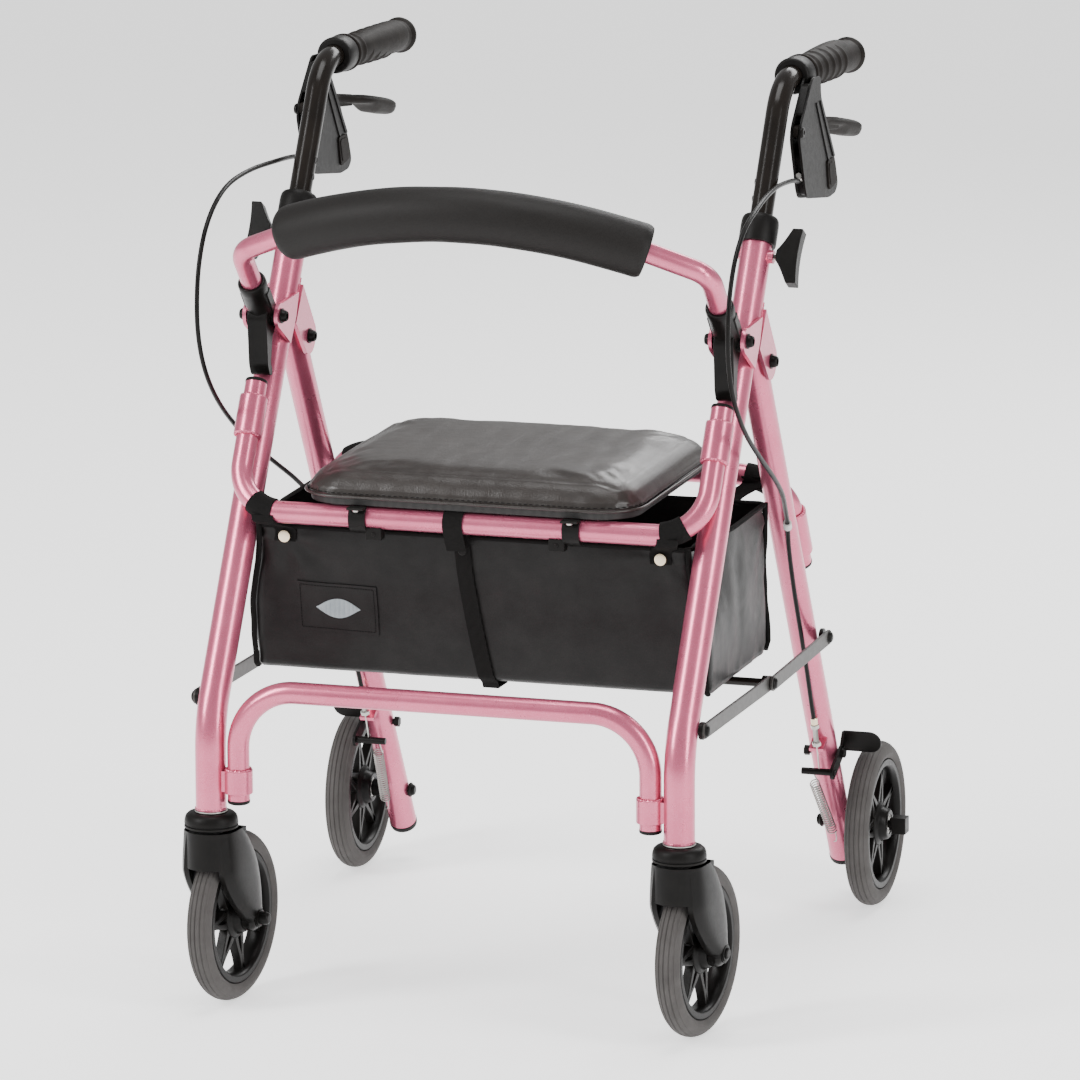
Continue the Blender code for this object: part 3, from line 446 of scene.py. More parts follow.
def soften(outline, radius, steps=5):
    """An outline of (y, z) with its corners rounded."""
    rounded, count = [], len(outline)
    for k in range(count):
        before, here, after = (Vector((0, *outline[(k + d) % count])) for d in (-1, 0, 1))
        back, on = (before - here), (after - here)
        reach = min(radius, back.length * 0.45, on.length * 0.45)
        start, end = here + back.normalized() * reach, here + on.normalized() * reach
        for j in range(steps + 1):
            t = j / steps
            spot = start * (1 - t) ** 2 + here * 2 * t * (1 - t) + end * t * t
            rounded.append((spot.y, spot.z))
    return rounded


def smooth(t):
    """0 up to t = 0, 1 from t = 1, and an even ease between them."""
    t = min(1.0, max(0.0, t))
    return t * t * (3 - 2 * t)


def span(side, near, far):
    return (min(side * near, side * far), max(side * near, side * far))


def bead(bm, a, b, radius=0.0019):
    """A rippled weld bead between two points."""
    count = max(8, int((b - a).length / 0.0011))
    path = [a.lerp(b, k / count) for k in range(count + 1)]
    tube(bm, path, lambda t: radius * (0.86 + 0.14 * math.sin(t * count * 2.1)), 8,
         X if abs((b - a).normalized().x) < 0.9 else Z)


def placed(name, bm, look):
    """An object in the scene made from bm, which it frees."""
    mesh = bpy.data.meshes.new(name)
    bm.to_mesh(mesh)
    bm.free()
    mesh.shade_smooth()
    mesh.materials.append(look)
    made = bpy.data.objects.new(name, mesh)
    bpy.context.scene.collection.objects.link(made)
    return made


def apply_modifiers(made):
    graph = bpy.context.evaluated_depsgraph_get()
    made.data = bpy.data.meshes.new_from_object(made.evaluated_get(graph))
    made.modifiers.clear()


def piece(name, bm, look, body, nodes=(), edge=0.0, angle=32.0, segments=3):
    """Makes the object, gives it soft edges, and hands it to its CAD body."""
    bmesh.ops.recalc_face_normals(bm, faces=bm.faces)
    made = placed(name, bm, look)
    if edge:
        step = made.modifiers.new("edges", "BEVEL")
        step.width = edge
        step.segments = segments
        step.limit_method = "ANGLE"
        step.angle_limit = math.radians(angle)
        step.harden_normals = True
    else:
        made.data.set_sharp_from_angle(angle=math.radians(angle))
    if body:
        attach(made, body)
    if nodes:
        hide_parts(*nodes)
    return made


def turned(name, profile, origin, direction, look, body, nodes=(), edge=0.0, sides=48):
    """A piece that is one lathed profile."""
    bm = bmesh.new()
    lathe(bm, profile, origin, direction, sides)
    return piece(name, bm, look, body, nodes, edge)


# ---------------------------------------------------------------- front frame
def sleeve(bm, centre, along, half):
    """A short open tube that a rail's end sits in."""
    bore = RAIL_R + 0.0006
    lathe(bm, [(bore, -half), (SLEEVE_R - 0.0006, -half), (SLEEVE_R, -half + 0.0006),
               (SLEEVE_R, half - 0.0006), (SLEEVE_R - 0.0006, half), (bore, half)], centre, along, 40)


def weld_ring(bm, centre, along, radius, thick=0.0017):
    """A rippled bead round a tube."""
    turn = along.to_track_quat("Z", "Y").to_matrix()
    count, sides = 96, 8
    rings = []
    for k in range(count):
        angle = 2 * math.pi * k / count
        out = turn @ Vector((math.cos(angle), math.sin(angle), 0))
        r = thick * (0.80 + 0.20 * math.sin(angle * 27)) + 0.0003 * math.sin(angle * 5)
        rings.append([bm.verts.new(centre + out * (radius + r * math.cos(2 * math.pi * j / sides))
                                   + along * r * math.sin(2 * math.pi * j / sides)) for j in range(sides)])
    skin(bm, [*rings, rings[0]], ends=False)


def web(bm, centre, size, turn, across):
    """A block welded between a leg and its sleeve, with a bead on each long edge."""
    block(bm, centre, size, turn)
    half = Vector(size) / 2
    reach = across * 0.0045
    for s in (-1, 1):
        for d in (-1, 1):
            a = centre + reach * d + turn @ Vector((s * half.x, 0, -half.z))
            b = centre + reach * d + turn @ Vector((s * half.x, 0, half.z))
            bead(bm, a, b)


def front_leg(label, side):
    x = side * LEG_X
    lean = Matrix.Rotation(-math.atan2(LEG_DIR.y, LEG_DIR.z), 3, "X")
    bm = bmesh.new()
    foot = Vector((x, CASTER_Y, LEG_FOOT_Z))
    tube(bm, rounded_path([foot, leg_at(LEG_BEND_Z, x), leg_at(LEG_TOP_Z, x)], 0.12, 18), LEG_R, 40)
    ring = seat_ring(0.583, x)
    sleeve(bm, ring, LEG_DIR, 0.021)
    weld_ring(bm, ring + LEG_DIR * 0.0212, LEG_DIR, 0.0128)
    weld_ring(bm, ring - LEG_DIR * 0.0212, LEG_DIR, 0.0128)
    web(bm, leg_at(0.583, x) - LEG_BACK * RAIL_OFFSET / 2, (0.015, 0.012, 0.039), lean, LEG_BACK)
    low = Vector((side * 0.2215, CASTER_Y, 0.2455))
    sleeve(bm, low, Z, 0.0125)
    weld_ring(bm, low + Z * 0.0127, Z, 0.0128)
    weld_ring(bm, foot + Z * 0.0015, Z, LEG_R - 0.0004, 0.0012)
    level = Matrix.Rotation(math.pi / 2, 3, "Z")
    web(bm, Vector((side * 0.2365, CASTER_Y, 0.2455)), (0.015, 0.012, 0.022), level, X)
    top, toe = leg_at(0.722, x) + LEG_BACK * 0.004, leg_at(0.684, x) + LEG_BACK * 0.002
    gusset = [(top.y, top.z), *arc(FOLD + Vector((0, 0.002, 0)), 0.020, 20, -120), (toe.y, toe.z)]
    ear_top, corner = leg_at(0.712, x) - LEG_BACK * 0.004, leg_at(0.690, x)
    tip = leg_at(0.664, x) - LEG_BACK * 0.002
    ear = [(ear_top.y, ear_top.z), *arc(BACK, 0.0135, 70, 235), (tip.y, tip.z), (corner.y, corner.z)]
    for outer, inner, outline in ((0.0196, 0.0156, gusset), (0.0192, 0.0153, ear)):
        for s in (-1, 1):
            slab(bm, outline, *sorted((x + s * outer, x + s * inner)))
    for s in (-1, 1):
        bead(bm, leg_at(0.676, x + s * 0.0150) + LEG_BACK * 0.004,
             leg_at(0.728, x + s * 0.0150) + LEG_BACK * 0.004)
        bead(bm, leg_at(0.668, x + s * 0.0148) - LEG_BACK * 0.004,
             leg_at(0.708, x + s * 0.0148) - LEG_BACK * 0.004)
    nut = at_x(leg_at(0.770), x + side * 0.0142)
    rod(bm, nut, nut + X * side * 0.0058, 0.0070)
    stop = leg_at(0.772, x - side * 0.0150)
    block(bm, stop, (0.006, 0.009, 0.012), lean)
    piece(f"front_leg_tube_{label}", bm, PINK, "front_frame", [f"front_leg_{label}"], 0.0007)

    profile = [(0.0075, -0.0022), (0.0165, -0.0022), (0.0170, -0.0016), (0.0170, -0.0004), (0.0075, -0.0004)]
    turned(f"foot_washer_{label}", profile, foot, Z, STEEL, "front_frame", edge=0.0002)

    bm = bmesh.new()
    profile = [(0.0125, -0.004), (0.0125, 0.0146), (0.0160, 0.0150), (0.0178, 0.0142), (0.0190, 0.0122),
               (0.0196, 0.0090), (0.0198, 0.0050), (0.0198, -0.0140), (0.0193, -0.0158), (0.0164, -0.0160),
               (0.0164, -0.004)]
    lathe(bm, profile, leg_at(LEG_TOP_Z, x) + LEG_DIR * 0.0045, LEG_DIR)
    seam = leg_at(LEG_TOP_Z, x) + LEG_BACK * 0.0192
    tube(bm, [seam - LEG_DIR * 0.0105, seam + LEG_DIR * 0.013], 0.0011, 8)
    piece(f"collar_{label}", bm, PLASTIC, "front_frame", [f"height_collar_{label}"])


def domed_bolt(name, centre, reach, shank, body, node, look=None):
    """A through bolt: a domed head with a hexagon socket on each end, over a washer."""
    bm = bmesh.new()
    rod(bm, centre - X * shank, centre + X * shank, 0.0032)
    for s in (-1, 1):
        out = X * s
        height = reach - shank
        dome = [(0.0038, height - 0.0012), (0.0048, height - 0.0004), (0.0056, height - 0.0014),
                (0.0063, height - 0.0034), (0.0066, 0.0010), (0.0080, 0.0008), (0.0080, 0.0)]
        lathe(bm, [(0, height - 0.0030), (0.0026, height - 0.0030), (0.0028, height - 0.0004), *dome,
                   (0, 0.0)], centre + out * shank, out, 36)
    piece(name, bm, look or SATIN, body, [node])


def rail(name, end, corner, bend, body, node):
    bm = bmesh.new()
    path = rounded_path([MIRROR @ end, MIRROR @ corner, corner, end], bend, 18)
    tube(bm, path, RAIL_R, 32, (end - corner).cross(X))
    piece(name, bm, PINK, body, [node])
    bm = bmesh.new()
    out = (end - corner).normalized()
    for spot in (end, MIRROR @ end):
        lathe(bm, [(0, 0.0046), (0.0092, 0.0044), (0.0113, 0.0034), (0.0118, 0.0020), (0.0118, 0.0002),
                   (0, 0.0002)], spot, out, 32)
    piece(f"{name}_caps", bm, PLASTIC, body)


def front_frame():
    for label, side in SIDES:
        front_leg(label, side)
        domed_bolt(f"fold_pivot_{label}", at_x(FOLD, side * LEG_X), 0.0270, 0.0200, "front_frame",
                   f"fold_bolt_{label}")
        domed_bolt(f"back_pivot_{label}", at_x(BACK, side * LEG_X), 0.0262, 0.0200, "front_frame",
                   f"back_bolt_{label}")
    rail("front_rail", *FRONT_RAIL, RAIL_BEND, "front_frame", "seat_rail_front")
    foot = Vector((0.2215, CASTER_Y, 0.2260))
    rail("crossbar", foot, foot + Z * 0.1170, 0.062, "front_frame", "lower_crossbar")


# ---------------------------------------------------------------- rear frame
def rear_leg(label, side):
    x = side * LEG_X
    lean = Matrix.Rotation(math.atan2(-REAR_DIR.y, REAR_DIR.z), 3, "X")
    bm = bmesh.new()
    foot, head = rear_at(0.0480, x), rear_at(FOLD.z + 0.014, x)
    tube(bm, [foot.lerp(head, k / 12) for k in range(13)], REAR_R, 40)
    ring = rear_ring(0.430, x)
    sleeve(bm, ring, REAR_DIR, 0.028)
    weld_ring(bm, ring + REAR_DIR * 0.0282, REAR_DIR, 0.0128)
    web(bm, rear_at(0.430, x) + REAR_BACK * RAIL_OFFSET / 2, (0.015, 0.012, 0.052), lean, REAR_BACK)
    shelf = rear_at(0.2050, x)
    block(bm, shelf + lean @ Vector((side * 0.002, -0.0150, 0)), (0.016, 0.030, 0.0045), lean)
    piece(f"rear_leg_tube_{label}", bm, PINK, "rear_frame", [f"rear_leg_{label}"], 0.0007)
    profile = [(0, -0.0010), (0.0125, -0.0008), (0.0143, 0.0008), (0.0150, 0.0030), (0.0152, 0.0068),
               (0.0149, 0.0072), (0, 0.0072)]
    turned(f"rear_foot_{label}", profile, rear_at(0.0425, x), REAR_DIR, PLASTIC, "rear_frame",
           sides=40)


def rear_frame():
    for label, side in SIDES:
        rear_leg(label, side)
        bm = bmesh.new()
        centre, out = at_x(REAR_AXLE, side * LEG_X), X * side
        lathe(bm, [(0, -0.0225), (0.0046, -0.0222), (0.0060, -0.0208), (0.0065, -0.0185), (0.0080, -0.0180),
                   (0.0080, -0.0156), (0.0040, -0.0155), (0.0040, 0.0250), (0.0075, 0.0250),
                   (0.0075, 0.0148), (0.0095, 0.0148), (0.0095, 0.0260), (0.0040, 0.0262), (0.0040, 0.0590),
                   (0.0072, 0.0594), (0.0072, 0.0640), (0, 0.0640)], centre, out, 40)
        block(bm, centre + out * 0.0706, (0.0158, 0.0168, 0.0180))
        piece(f"rear_axle_bolt_{label}", bm, SATIN, "rear_frame", [f"rear_axle_{label}"],
              0.0022)
    rail("rear_rail", *REAR_RAIL, RAIL_BEND, "rear_frame", "seat_rail_rear")


# ---------------------------------------------------------------- wheels and casters
def wheel(prefix, centre, axis, body):
    """A grooved tyre on a rim with seven pairs of curved spokes, and the bearing in the boss."""
    bm = bmesh.new()
    half, crown, bulge = 0.0135, WHEEL_R - 0.0125, 0.0125
    tread = []
    for k in range(41):
        angle = math.pi * k / 40
        along = -half * math.cos(angle)
        groove = 0.0011 if any(abs(abs(along) - g) < 0.00055 for g in (0.0, 0.0052, 0.0090)) else 0.0
        tread.append((crown + (bulge - groove) * math.sin(angle), along))
    lathe(bm, [*tread, (0.0735, 0.0122), (0.0714, 0.0105), (0.0711, 0.0), (0.0714, -0.0105),
               (0.0735, -0.0122)], centre, axis, 112)
    piece(f"{prefix}_tread", bm, TYRE, body, [f"{prefix}_tyre"])

    turn = axis.to_track_quat("Z", "Y").to_matrix()
    bm = bmesh.new()
    lathe(bm, [(0.0706, 0.0104), (0.0700, 0.0112), (0.0640, 0.0112), (0.0622, 0.0096), (0.0608, 0.0040),
               (0.0608, -0.0040), (0.0622, -0.0096), (0.0640, -0.0112), (0.0700, -0.0112),
               (0.0706, -0.0104)], centre, axis, 96)
    lathe(bm, [(0.0105, 0.0165), (0.0150, 0.0165), (0.0165, 0.0150), (0.0190, 0.0085), (0.0240, 0.0058),
               (0.0255, 0.0), (0.0240, -0.0058), (0.0190, -0.0085), (0.0165, -0.0150), (0.0150, -0.0165),
               (0.0105, -0.0165)], centre, axis, 64)
    for k in range(14):
        base = 2 * math.pi * (k // 2) / 7 + (0.15 if k % 2 else -0.15)
        lean = 0.30 if k % 2 else -0.30
        low, high = [], []
        for t in [j / 8 for j in range(9)]:
            radius = 0.0225 + 0.0400 * t
            angle = base + lean * (1 - (1 - t) ** 2)
            width = (0.0042 - 0.0014 * math.sin(math.pi * t)) / radius
            low.append((radius, angle - width))
            high.append((radius, angle + width))
        outline = low + high[::-1]
        ends = []
        for z in (-0.0050, 0.0050):
            ends.append([centre + turn @ Vector((r * math.cos(a), r * math.sin(a), z)) for r, a in outline])
        prism(bm, *ends)
    piece(f"{prefix}_rim", bm, SATIN, body, [f"{prefix}_hub"], 0.0009, 40, segments=2)

    bm = bmesh.new()
    for s in (-1, 1):
        lathe(bm, [(0.0044, 0.0148), (0.0062, 0.0152), (0.0066, 0.0142), (0.0088, 0.0142), (0.0092, 0.0154),
                   (0.0104, 0.0154), (0.0104, 0.0090), (0.0044, 0.0090)], centre, axis * s, 48)
    piece(f"{prefix}_bearing", bm, STEEL, body)


def caster(label, side):
    swivel = Vector((side * LEG_X, CASTER_Y, 0))
    heading = Matrix.Rotation(-YAW, 3, "Z")
    rear, across = heading @ Y, heading @ X
    centre = swivel + rear * TRAIL + Z * WHEEL_R
    body = f"caster_{label}"
    wheel(f"front_wheel_{label}", centre, across, f"front_wheel_{label}")

    bm = bmesh.new()
    # The hood is a round wall, open at the rear and arched over the tyre. An arm on each side sweeps back.
    shell, wall, slot, slot_in, back, hood_drop, levels = 0.0272, 0.0258, 0.0174, 0.0172, 0.0265, 0.0390, []
    for k in range(15):
        z = HOOD_TOP - hood_drop * k / 14
        clear = TRAIL - math.sqrt(max(0.0, WHEEL_R ** 2 - (z - WHEEL_R) ** 2)) - 0.0030
        outline = [(back, shell)]
        turns = [-math.pi * n / 24 for n in range(25)]
        outline += [(shell * math.sin(a), shell * math.cos(a)) for a in turns]
        outline.append((back, -shell))
        for n in range(15):
            across_at = -slot + 2 * slot * n / 14
            deep = max(clear, -math.sqrt(wall ** 2 - across_at ** 2))
            if n in (0, 14):
                outline.append((back, across_at))
            outline.append((min(deep, back - 0.001), across_at))
        if outline[-1][0] != back:
            outline[-1], outline[-2] = outline[-2], outline[-1]
        levels.append([bm.verts.new(swivel + rear * a + across * o + Z * z) for a, o in outline])
    skin(bm, levels)
    steps, foot_steps, points = 44, 8, 12
    rows = []
    for k in range(steps + 1):
        t = k / steps
        z = HOOD_TOP + (WHEEL_R - HOOD_TOP) * t
        front = -0.0190 + 0.0510 * max(0.0, (t - 0.40) / 0.60) ** 1.45
        back = 0.0265 + 0.0350 * (1 - (1 - min(1.0, t / 0.75)) ** 1.8)
        outer = 0.0262 + 0.0038 * math.sin(math.pi / 2 * min(1.0, t / 0.45))
        rows.append(((front + back) / 2, (back - front) / 2, z, outer, False))
    middle_a, half, z, outer, _ = rows[-1]
    for k in range(1, foot_steps):
        angle = math.pi / 2 * k / foot_steps
        rows.append((middle_a, half * math.cos(angle), z - half * math.sin(angle), outer, math.cos(angle)))
    for s in (-1, 1):
        grid = []
        for mid, half, z, outer, foot in rows:
            spots = []
            for j in range(points + 1):
                u = 2 * j / points - 1
                round_off = 0.0070 if u < 0 and not foot else 0.0040
                swell = outer + 0.0018 * math.cos(math.pi * u / 2) - round_off * abs(u) ** 5
                if foot:
                    swell = slot_in + (swell - slot_in) * (0.35 + 0.65 * foot)
                spots.append((mid + half * u, swell))
            spots += [(a, slot_in) for a, swell in reversed(spots)]
            grid.append([bm.verts.new(swivel + rear * a + Z * z + across * s * o) for a, o in spots])
        skin(bm, grid)
        lathe(bm, [(0.0048, 0.0280), (0.0094, 0.0280), (0.0102, 0.0306), (0.0102, 0.0314), (0.0048, 0.0314)],
              centre, across * s, 40)
    piece(f"caster_fork_body_{label}", bm, SATIN, body, [f"caster_fork_{label}"], 0.0011)
    profile = [(0, 0.0200), (0.0066, 0.0200), (0.0070, 0.0166), (0.0205, 0.0164), (0.0240, 0.0152),
               (0.0264, 0.0130), (0.0276, 0.0096), (0.0280, 0.0060), (0.0280, 0.0046), (0.0268, 0.0040),
               (0.0268, 0.0030), (0.0280, 0.0026), (0.0280, 0.0006), (0.0268, 0.0002), (0, 0.0002)]
    turned(f"caster_cap_{label}", profile, swivel + Z * 0.1952, Z, PLASTIC, body,
           [f"caster_bearing_{label}"], sides=72)
    profile = [(0, -0.0428), (0.0042, -0.0424), (0.0060, -0.0410), (0.0070, -0.0380), (0.0070, -0.0330),
               (0.0088, -0.0326), (0.0088, -0.0316), (0.0040, -0.0316), (0.0040, 0.0316), (0.0084, 0.0316),
               (0.0084, 0.0324), (0.0060, 0.0328), (0.0060, 0.0338), (0.0046, 0.0350), (0, 0.0352)]
    turned(f"caster_axle_bolt_{label}", profile, centre, across * side, SATIN, body,
           [f"caster_axle_{label}"], sides=40)


def wheels():
    for label, side in SIDES:
        caster(label, side)
        wheel(f"rear_wheel_{label}", at_x(REAR_AXLE, side * REAR_WHEEL_X), X * side, f"rear_wheel_{label}")


# ---------------------------------------------------------------- handles and levers
GRIP_START, GRIP_END, GRIP_R = 0.120, 0.318, 0.0180


def handle(label, side):
    x = side * LEG_X
    body = f"handle_{label}"
    bm = bmesh.new()
    path = rounded_path([leg_at(0.655, x), leg_at(0.86, x), at_x(GRIP_CORNER, x),
                         grip_at(GRIP_END - 0.006, x)], [0.5, 0.060], 16)
    tube(bm, path, HANDLE_R, 36)
    piece(f"handle_tube_body_{label}", bm, TUBE, body, [f"handle_tube_{label}"])

    # Height holes down the tube's inner side, each a dished ring.
    bm = bmesh.new()
    for z in (0.808, 0.824, 0.840):
        spot = leg_at(z, x - side * (HANDLE_R - 0.0004))
        lathe(bm, [(0, 0.0001), (0.0026, 0.0001), (0.0030, 0.0006), (0.0036, 0.0006), (0.0040, 0.0),
                   (0, -0.001)], spot, X * -side, 24)
    piece(f"height_marks_{label}", bm, PLASTIC, body)

    start = grip_at(GRIP_START, x)
    length = (grip_at(GRIP_END, x) - start).length
    bore = HANDLE_R + 0.0003
    outline = [(bore, 0.0), (0.0192, 0.0), (0.0203, 0.0010), (0.0203, 0.0052), (0.0188, 0.0078)]
    for k in range(145):
        t = k / 144
        along = 0.0100 + (length - 0.0220) * t
        belly = GRIP_R - 0.0022 + 0.0014 * math.sin(math.pi * t) + 0.0012 * t ** 4
        ribs = sum(0.0019 * math.exp(-((along - 0.028 - 0.024 * j) / 0.0042) ** 2) for j in range(5))
        outline.append((belly + ribs, along))
    outline += [(0.0190, length - 0.0090), (0.0196, length - 0.0060), (0.0188, length - 0.0022),
                (0.0160, length - 0.0002), (0.0110, length + 0.0006), (0.0, length + 0.0008)]
    bm = bmesh.new()
    lathe(bm, [(0, 0.001), *outline[1:]], start, GRIP_DIR, 64)
    piece(f"grip_body_{label}", bm, GRIP, body, [f"grip_{label}"], angle=50)
    # The palm pad: a flatter swelling along the grip's inner and upper side.
    bm = bmesh.new()
    pad = [start + GRIP_DIR * (0.030 + (length - 0.060) * k / 24) + Z * 0.0022 - X * side * 0.0034
           for k in range(25)]
    tube(bm, pad, lambda t: 0.0165 * (0.80 + 0.20 * math.sin(math.pi * t) ** 0.6) + 0.0030 * smooth(t) ** 2,
         40)
    piece(f"grip_palm_{label}", bm, GRIP, body, angle=60)

    bm = bmesh.new()
    ring = grip_at(GRIP_START - 0.016, x)
    lathe(bm, [(bore, -0.0140), (0.0172, -0.0140), (0.0186, -0.0130), (0.0195, -0.0105), (0.0195, 0.0125),
               (0.0186, 0.0145), (bore, 0.0145)], ring, GRIP_DIR, 56)
    outline = [(0.086, 0.936), (0.1165, 0.934), (0.118, 0.912), (0.150, 0.872), (0.176, 0.832),
               (0.186, 0.808), (0.176, 0.800), (0.150, 0.799), (0.066, 0.812), (0.058, 0.822),
               (0.036, 0.878), (0.040, 0.892)]
    cheek = soften(outline, 0.007)
    for near, far in ((0.0130, 0.0155), (0.0220, 0.0245)):
        slab(bm, cheek, *span(side, LEG_X + near, LEG_X + far))
    core = soften([(0.075, 0.930), (0.1165, 0.930), (0.118, 0.912), (0.108, 0.900), (0.060, 0.897),
                   (0.050, 0.902)], 0.004)
    slab(bm, core, *span(side, LEG_X + 0.0150, LEG_X + 0.0225))
    under = soften([(0.060, 0.866), (0.110, 0.862), (0.170, 0.828), (0.190, 0.806), (0.156, 0.802),
                    (0.068, 0.815), (0.061, 0.824), (0.050, 0.858)], 0.004)
    slab(bm, under, *span(side, LEG_X + 0.0150, LEG_X + 0.0225))
    # Two raised ribs run down the rear edge of each cheek to a bordered plate.
    cheeks = ((LEG_X + 0.0245, 1), (LEG_X + 0.0130, -1))
    for face, out in cheeks:
        for y0, y1 in ((0.1110, 0.1640), (0.0960, 0.1430)):
            rib = soften([(y0, 0.9080), (y0 + 0.0060, 0.9080), (y1 + 0.0060, 0.8400), (y1, 0.8400)], 0.003)
            slab(bm, rib, *span(side, face - 0.001 * out, face + 0.0014 * out))
    piece(f"brake_housing_body_{label}", bm, PLASTIC, body, [f"brake_housing_{label}"],
          0.0011)
    bm = bmesh.new()
    for face, out in cheeks:
        for inset, lift in ((0.0, 0.0018), (0.0035, 0.0026)):
            plate = soften([(0.138 + inset, 0.8400 - inset), (0.166 - inset, 0.8400 - inset),
                            (0.178 - inset, 0.8120 + inset), (0.146 + inset, 0.8070 + inset)], 0.006)
            slab(bm, plate, *span(side, face - 0.0006 * out, face + lift * out))
    piece(f"housing_plate_{label}", bm, GRIP, body, edge=0.0005)
    bm = bmesh.new()
    for s, depth, wide in ((1, 0.0028, 1.0), (-1, 0.0005, 0.5)):
        seat = LEG_X + (0.0245 if s == 1 else 0.0130)
        centre = Vector((side * seat, 0.0420, 0.8856))
        dome = [(0, 0.5), (0.0022, 0.5), (0.0026, 1.0), (0.0048, 1.0), (0.0056, 0.6), (0.0058, 0.0),
                (0, 0.0)]
        lathe(bm, [(radius * wide, depth * part) for radius, part in dome], centre, X * side * s, 32)
    piece(f"lever_pin_{label}", bm, SATIN, body)
    bm = bmesh.new()
    barrel = Vector((side * (LEG_X + 0.0190), 0.0660, 0.8330))
    out = Vector((0, -0.94, 0.34)).normalized()
    profile = [(0, 0.0)]
    for k in range(9):
        radius = 0.0046 if k % 2 else 0.0041
        profile += [(radius, 0.0012 * k), (radius, 0.0012 * k + 0.0010)]
    lathe(bm, [*profile, (0.0030, 0.0120), (0.0028, 0.0175), (0, 0.0175)], barrel, out, 30)
    piece(f"cable_adjuster_{label}", bm, STEEL, body)


def lever(label, side):
    """A flat root in the housing's slot that widens into an arched paddle under the grip."""
    bm = bmesh.new()
    root = [(0.038, 0.8820), (0.042, 0.8795), (0.150, 0.8705), (0.200, 0.8640), (0.200, 0.8765),
            (0.150, 0.8850), (0.042, 0.8925), (0.038, 0.8900)]
    slab(bm, soften(root, 0.004), *span(side, LEG_X + 0.0159, LEG_X + 0.0216))
    count, across = 48, 14
    rows = []
    for k in range(count + 1):
        t = k / count
        y = 0.150 + 0.154 * t
        base = 0.8780 - 0.0290 * t ** 1.2
        grow, belly = smooth(t / 0.45), smooth((t - 0.38) / 0.18)
        shut = math.sqrt(1 - 0.985 * max(0.0, (t - 0.78) / 0.22) ** 2)
        near, far = LEG_X + 0.0159 - 0.0220 * grow, LEG_X + 0.0216 + 0.0034 * grow
        middle_x, half = (near + far) / 2, (far - near) / 2 * shut
        row = []
        for top in (True, False):
            for j in range(across + 1):
                u = (2 * j / across - 1) * (1 if top else -1)
                rim = math.sqrt(1 - 0.92 * u ** 4) * shut
                lift = 0.0046 + 0.0016 * grow * (1 - u * u) if top else -0.0040 - 0.0085 * belly
                row.append(Vector((side * (middle_x + half * u), y, base + lift * rim)))
        rows.append([bm.verts.new(p) for p in row])
    skin(bm, rows)
    piece(f"lever_paddle_{label}", bm, GRIP, f"lever_{label}", [f"brake_lever_{label}"],
          0.0008, 60)


def knob(label, side):
    """A hand screw: a steel stud, and a plastic head whose two wings narrow at the middle."""
    spot = leg_at(0.770, side * LEG_X)
    body = f"knob_{label}"
    bm = bmesh.new()
    start = at_x(spot, side * (LEG_X + HANDLE_R + 0.0006))
    lathe(bm, [(0, 0), (0.0030, 0), (0.0033, 0.0006), *[(0.0033 - 0.0003 * (k % 2), 0.0010 + 0.0005 * k)
               for k in range(22)], (0, 0.0125)], start, X * side, 24)
    piece(f"knob_stud_{label}", bm, STEEL, body)
    bm = bmesh.new()
    lathe(bm, [(0, 0.0110), (0.0054, 0.0110), (0.0060, 0.0118), (0.0064, 0.0180), (0, 0.0180)], start,
          X * side, 40)
    # The wings, seen along LEG_BACK: a narrow waist that flares outwards, and a slightly hollow outer face.
    half, waist, root, inner, outer, dish = 0.0300, 0.0056, 0.0235, 0.0380, 0.0490, 0.0468
    profile = []
    for k in range(21):
        u = 2 * k / 20 - 1
        spread = max(0.0, (abs(half * u) - waist) / (half - waist))
        profile.append((half * u, root + (inner - root) * spread ** 0.8))
    profile += [(half * (1 - k / 8), dish + (outer - dish) * (1 - k / 8) ** 2) for k in range(17)]
    ends = []
    for s in (-1, 1):
        level = spot + LEG_BACK * s * 0.0080
        ends.append([at_x(level + LEG_DIR * u, side * (LEG_X + out)) for u, out in profile])
    prism(bm, *ends)
    piece(f"knob_wings_{label}", bm, SATIN, body, [f"height_knob_{label}"], 0.0016, 40)


# ---------------------------------------------------------------- brakes and cables
# The wire pulls the arm at PIN, and the spring pulls it back.
PIN = Vector((0, 0.1960, 0.1640))
SPRING_TOP, SPRING_FOOT = Vector((-0.0060, 0.1975, 0.1590)), Vector((0.0040, 0.2600, 0.0730))


